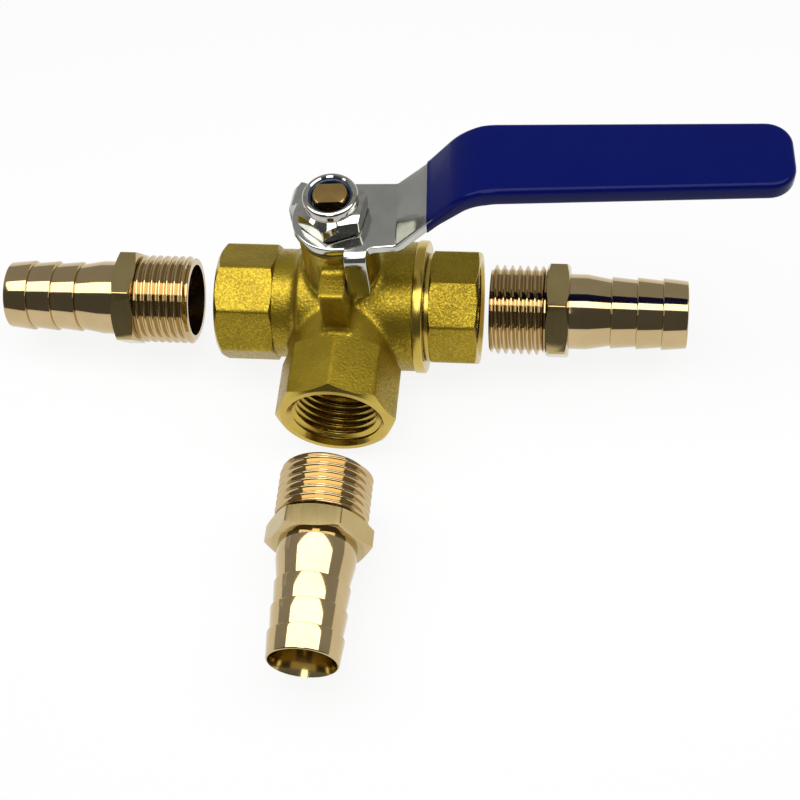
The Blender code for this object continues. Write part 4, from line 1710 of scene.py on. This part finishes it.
@dataclass(frozen=True)
class Lamp:
    """A soft box that hangs level over the valve."""

    name: str
    low: tuple[float, float]
    high: tuple[float, float]
    height: float
    glow: float

    def hang(self, target: Vector) -> None:
        """Hang the lamp.

        Args:
            target: The point that its corners and its height are measured from.
        """
        light = bpy.data.lights.new(self.name, "AREA")
        light.shape = "RECTANGLE"
        low, high = Vector(self.low), Vector(self.high)
        light.size, light.size_y = high - low
        light.energy = math.pi * light.size * light.size_y * self.glow
        lamp = bpy.data.objects.new(self.name, light)
        lamp.visible_camera = False
        lamp.location = target + ((low + high) / 2.0).to_3d() + UP * self.height
        bpy.context.scene.collection.objects.link(lamp)


def stage_piece(form: bmesh.types.BMesh, sheet: NodeSheet, name: str) -> bpy.types.Object:
    """Put a form that isn't part of the valve into the scene.

    Args:
        form: Its form; it is used up.
        sheet: Its material's sheet.
        name: Its name.

    Returns:
        The new object.
    """
    mesh = bpy.data.meshes.new(name)
    form.to_mesh(mesh)
    form.free()
    mesh.materials.append(sheet.owner)
    item = bpy.data.objects.new(name, mesh)
    bpy.context.scene.collection.objects.link(item)
    return item


@dataclass(frozen=True)
class Card:
    """A grey card that stands on the floor out of the picture, for the bright metal to mirror."""

    name: str
    place: tuple[float, float]
    width: float
    height: float
    grey: float

    def stand(self, target: Vector) -> None:
        """Stand the card up.

        Args:
            target: The point that its place is measured from, and that it faces.
        """
        middle = Vector(self.place)
        across = middle.orthogonal().normalized() * self.width / 2.0
        form = bmesh.new()
        for end, height in ((1.0, 0.0), (-1.0, 0.0), (-1.0, self.height), (1.0, self.height)):
            form.verts.new((*(target.xy + middle + end * across), height))
        form.faces.new(form.verts)
        sheet = NodeSheet.of(self.name)
        sheet.shade(Base_Color=(self.grey,) * 3 + (1.0,), Roughness=MATT)
        item = stage_piece(form, sheet, self.name)
        item.visible_camera = item.visible_shadow = item.visible_diffuse = False


@dataclass(frozen=True)
class Studio:
    """Pale floor, soft boxes, a grey card and the camera at the photograph's viewing angle."""

    centre: Vector
    azimuth: float = math.radians(12.80)
    elevation: float = math.radians(57.59)
    roll: float = math.radians(-8.74)
    distance: float = 406.15
    pixels_per_mm: float = 4.20
    centre_pixel: tuple[float, float] = (350.11, 304.71)
    picture: float = 800.0
    sensor: float = 36.0
    floor_size: float = 20.0
    floor_colour: float = 0.9
    floor_white: float = 0.88
    room_front: float = 0.10
    room_back: float = 0.37
    room_turn: tuple[float, float] = (-0.4, 0.25)
    near: float = 0.01
    lamps: tuple[Lamp, ...] = (
        Lamp("overhead_panel", (-0.30, -0.112), (0.36, 0.066), 0.28, 3.2),
        Lamp("front_panel", (-0.055, -0.24), (0.045, -0.112), 0.28, 3.7),
    )
    card: Card = Card("grey_card", (-0.265, 0.140), 0.22, 0.10, 0.6)

    def camera(self) -> None:
        """Place the camera so that the ball's centre falls on its pixel."""
        a, e = self.azimuth, self.elevation
        back = Vector((math.sin(a) * math.cos(e), -math.cos(a) * math.cos(e), math.sin(e)))
        level = Vector((math.cos(a), math.sin(a), 0.0))
        upright = back.cross(level)
        c, s = math.cos(self.roll), math.sin(self.roll)
        right, up = c * level + s * upright, c * upright - s * level
        middle = self.picture / 2.0
        aside = -(self.centre_pixel[0] - middle) / self.pixels_per_mm
        above = (self.centre_pixel[1] - middle) / self.pixels_per_mm
        eye = self.centre + MM * (aside * right + above * up + self.distance * back)
        lens = bpy.data.cameras.new("photo_camera")
        lens.sensor_width = self.sensor
        lens.lens = self.sensor * self.pixels_per_mm * self.distance / self.picture
        lens.clip_start = self.near
        camera = bpy.data.objects.new("photo_camera", lens)
        camera.matrix_world = Matrix.Translation(eye) @ Matrix((right, up, back)).transposed().to_4x4()
        bpy.context.scene.collection.objects.link(camera)
        bpy.context.scene.camera = camera

    def floor(self) -> None:
        """Lay the floor: white to the camera and to reflections, with a soft shadow."""
        form = bmesh.new()
        bmesh.ops.create_grid(form, x_segments=1, y_segments=1, size=self.floor_size / 2.0)
        sheet = NodeSheet.of("floor_white")
        sheet.shade(Base_Color=(self.floor_colour,) * 3 + (1.0,), Roughness=MATT)
        seen = sheet.add("ShaderNodeLightPath", output="Is Camera Ray")
        mirrored = sheet.add("ShaderNodeLightPath", output="Is Glossy Ray")
        passed = sheet.add("ShaderNodeLightPath", output="Is Transmission Ray")
        glow = sheet.add("ShaderNodeEmission", None, {"Color": (1.0, 1.0, 1.0, 1.0), "Strength": 1.0})
        plain = Value(sheet, sheet.shader.outputs[0])
        share = self.floor_white * (seen + mirrored + passed)
        surface = sheet.tree.nodes["Material Output"].inputs["Surface"]
        sheet.feed(surface, sheet.add("ShaderNodeMixShader", None, {0: share, 1: plain, 2: glow}))
        stage_piece(form, sheet, "studio_floor")

    def light(self) -> None:
        """Hang the lamps in a room that is darker in front than behind."""
        for lamp in self.lamps:
            lamp.hang(self.centre)
        sheet = NodeSheet(bpy.data.worlds.new("room"), "Background")
        way = sheet.add("ShaderNodeTexCoord", output="Generated")
        behind = sheet.ramp(sheet.add("ShaderNodeSeparateXYZ", None, {0: way}, "Y"), *self.room_turn)
        sheet.shade(Color=sheet.mix(behind, (self.room_front,) * 3, (self.room_back,) * 3))
        bpy.context.scene.world = sheet.owner
        bpy.context.scene.view_settings.view_transform = "Standard"

    def build(self) -> None:
        """Set up the whole studio."""
        self.camera()
        self.floor()
        self.card.stand(self.centre)
        self.light()


def dress(nodes: dict[str, bpy.types.Object], finishes: Finishes) -> None:
    """Give the inner nodes that keep their shape their finishes.

    Args:
        nodes: The frame's nodes.
        finishes: The materials.
    """
    seals = ("seat_left", "seat_right", "seat_front", "cap_seal", "thrust_washer")
    packing = ("packing_ring_lower", "packing_ring_upper")
    appearance = {name: finishes.ptfe for name in seals + packing}
    appearance |= {"gland_nut": finishes.turned_z, "stem_o_ring": finishes.rubber}
    for name, material in appearance.items():
        nodes[name].material_slots[0].material = material
        LOG.info("%s: dressed in %s", name, material.name)


def main() -> None:
    """Build the valve piece by piece in its studio."""
    logging.basicConfig(level=logging.INFO, format="%(name)s: %(message)s")
    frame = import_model()
    hinge = next(joint for joint in frame["joints"] if joint["name"] == "handle_turn")
    centre = Vector(hinge["pos_m"])
    Studio(centre).build()
    bench, finishes, ports = Bench(centre), Finishes.mixed(), PortWork()
    forged = (finishes.blasted, finishes.bored)
    bench.piece(ValveBody(ports).build(), "body", Body.VALVE, "brass_cast", forged, "valve_body")
    bench.piece(EndCap(ports).build(), "cap", Body.VALVE, "brass_cast", forged, "end_cap")
    tails = (
        (Port.LEFT, Body.TAIL_LEFT, "left", 0, finishes.turned_x),
        (Port.RIGHT, Body.TAIL_RIGHT, "right", 0, finishes.turned_x),
        (Port.FRONT, Body.TAIL_FRONT, "front", 1, finishes.turned_y),
    )
    for port, body, side, axis, material in tails:
        node = f"hose_tail_{side}"
        low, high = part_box(node)
        near = min(abs(low[axis] - centre[axis]), abs(high[axis] - centre[axis])) / MM
        tail = HoseTail().build(port, near)
        bench.piece(tail, f"tail_{side}", body, "brass_turned", (finishes.drawn, material), node)
    lever, nut = Lever(), LockNut()
    handle = (
        (Ball().build, "bored_ball", "chrome", finishes.chrome, "ball"),
        (Stem().build, "stem_rod", "brass_turned", finishes.turned_z, "stem"),
        (lever.build, "lever_strip", "steel", finishes.steel, "lever"),
        (GripSleeve(lever).build, "sleeve", "vinyl", finishes.vinyl, "grip_sleeve"),
        (nut.build, "nut", "plated_steel", finishes.plate, "lock_nut"),
        (nut.insert, "nut_ring", "nylon", finishes.nylon, "lock_nut_insert"),
    )
    for build, name, slot, material, node in handle:
        bench.piece(build(), name, Body.HANDLE, slot, (material, material), node)
    dress(frame["nodes"], finishes)


if __name__ == "__main__":
    main()
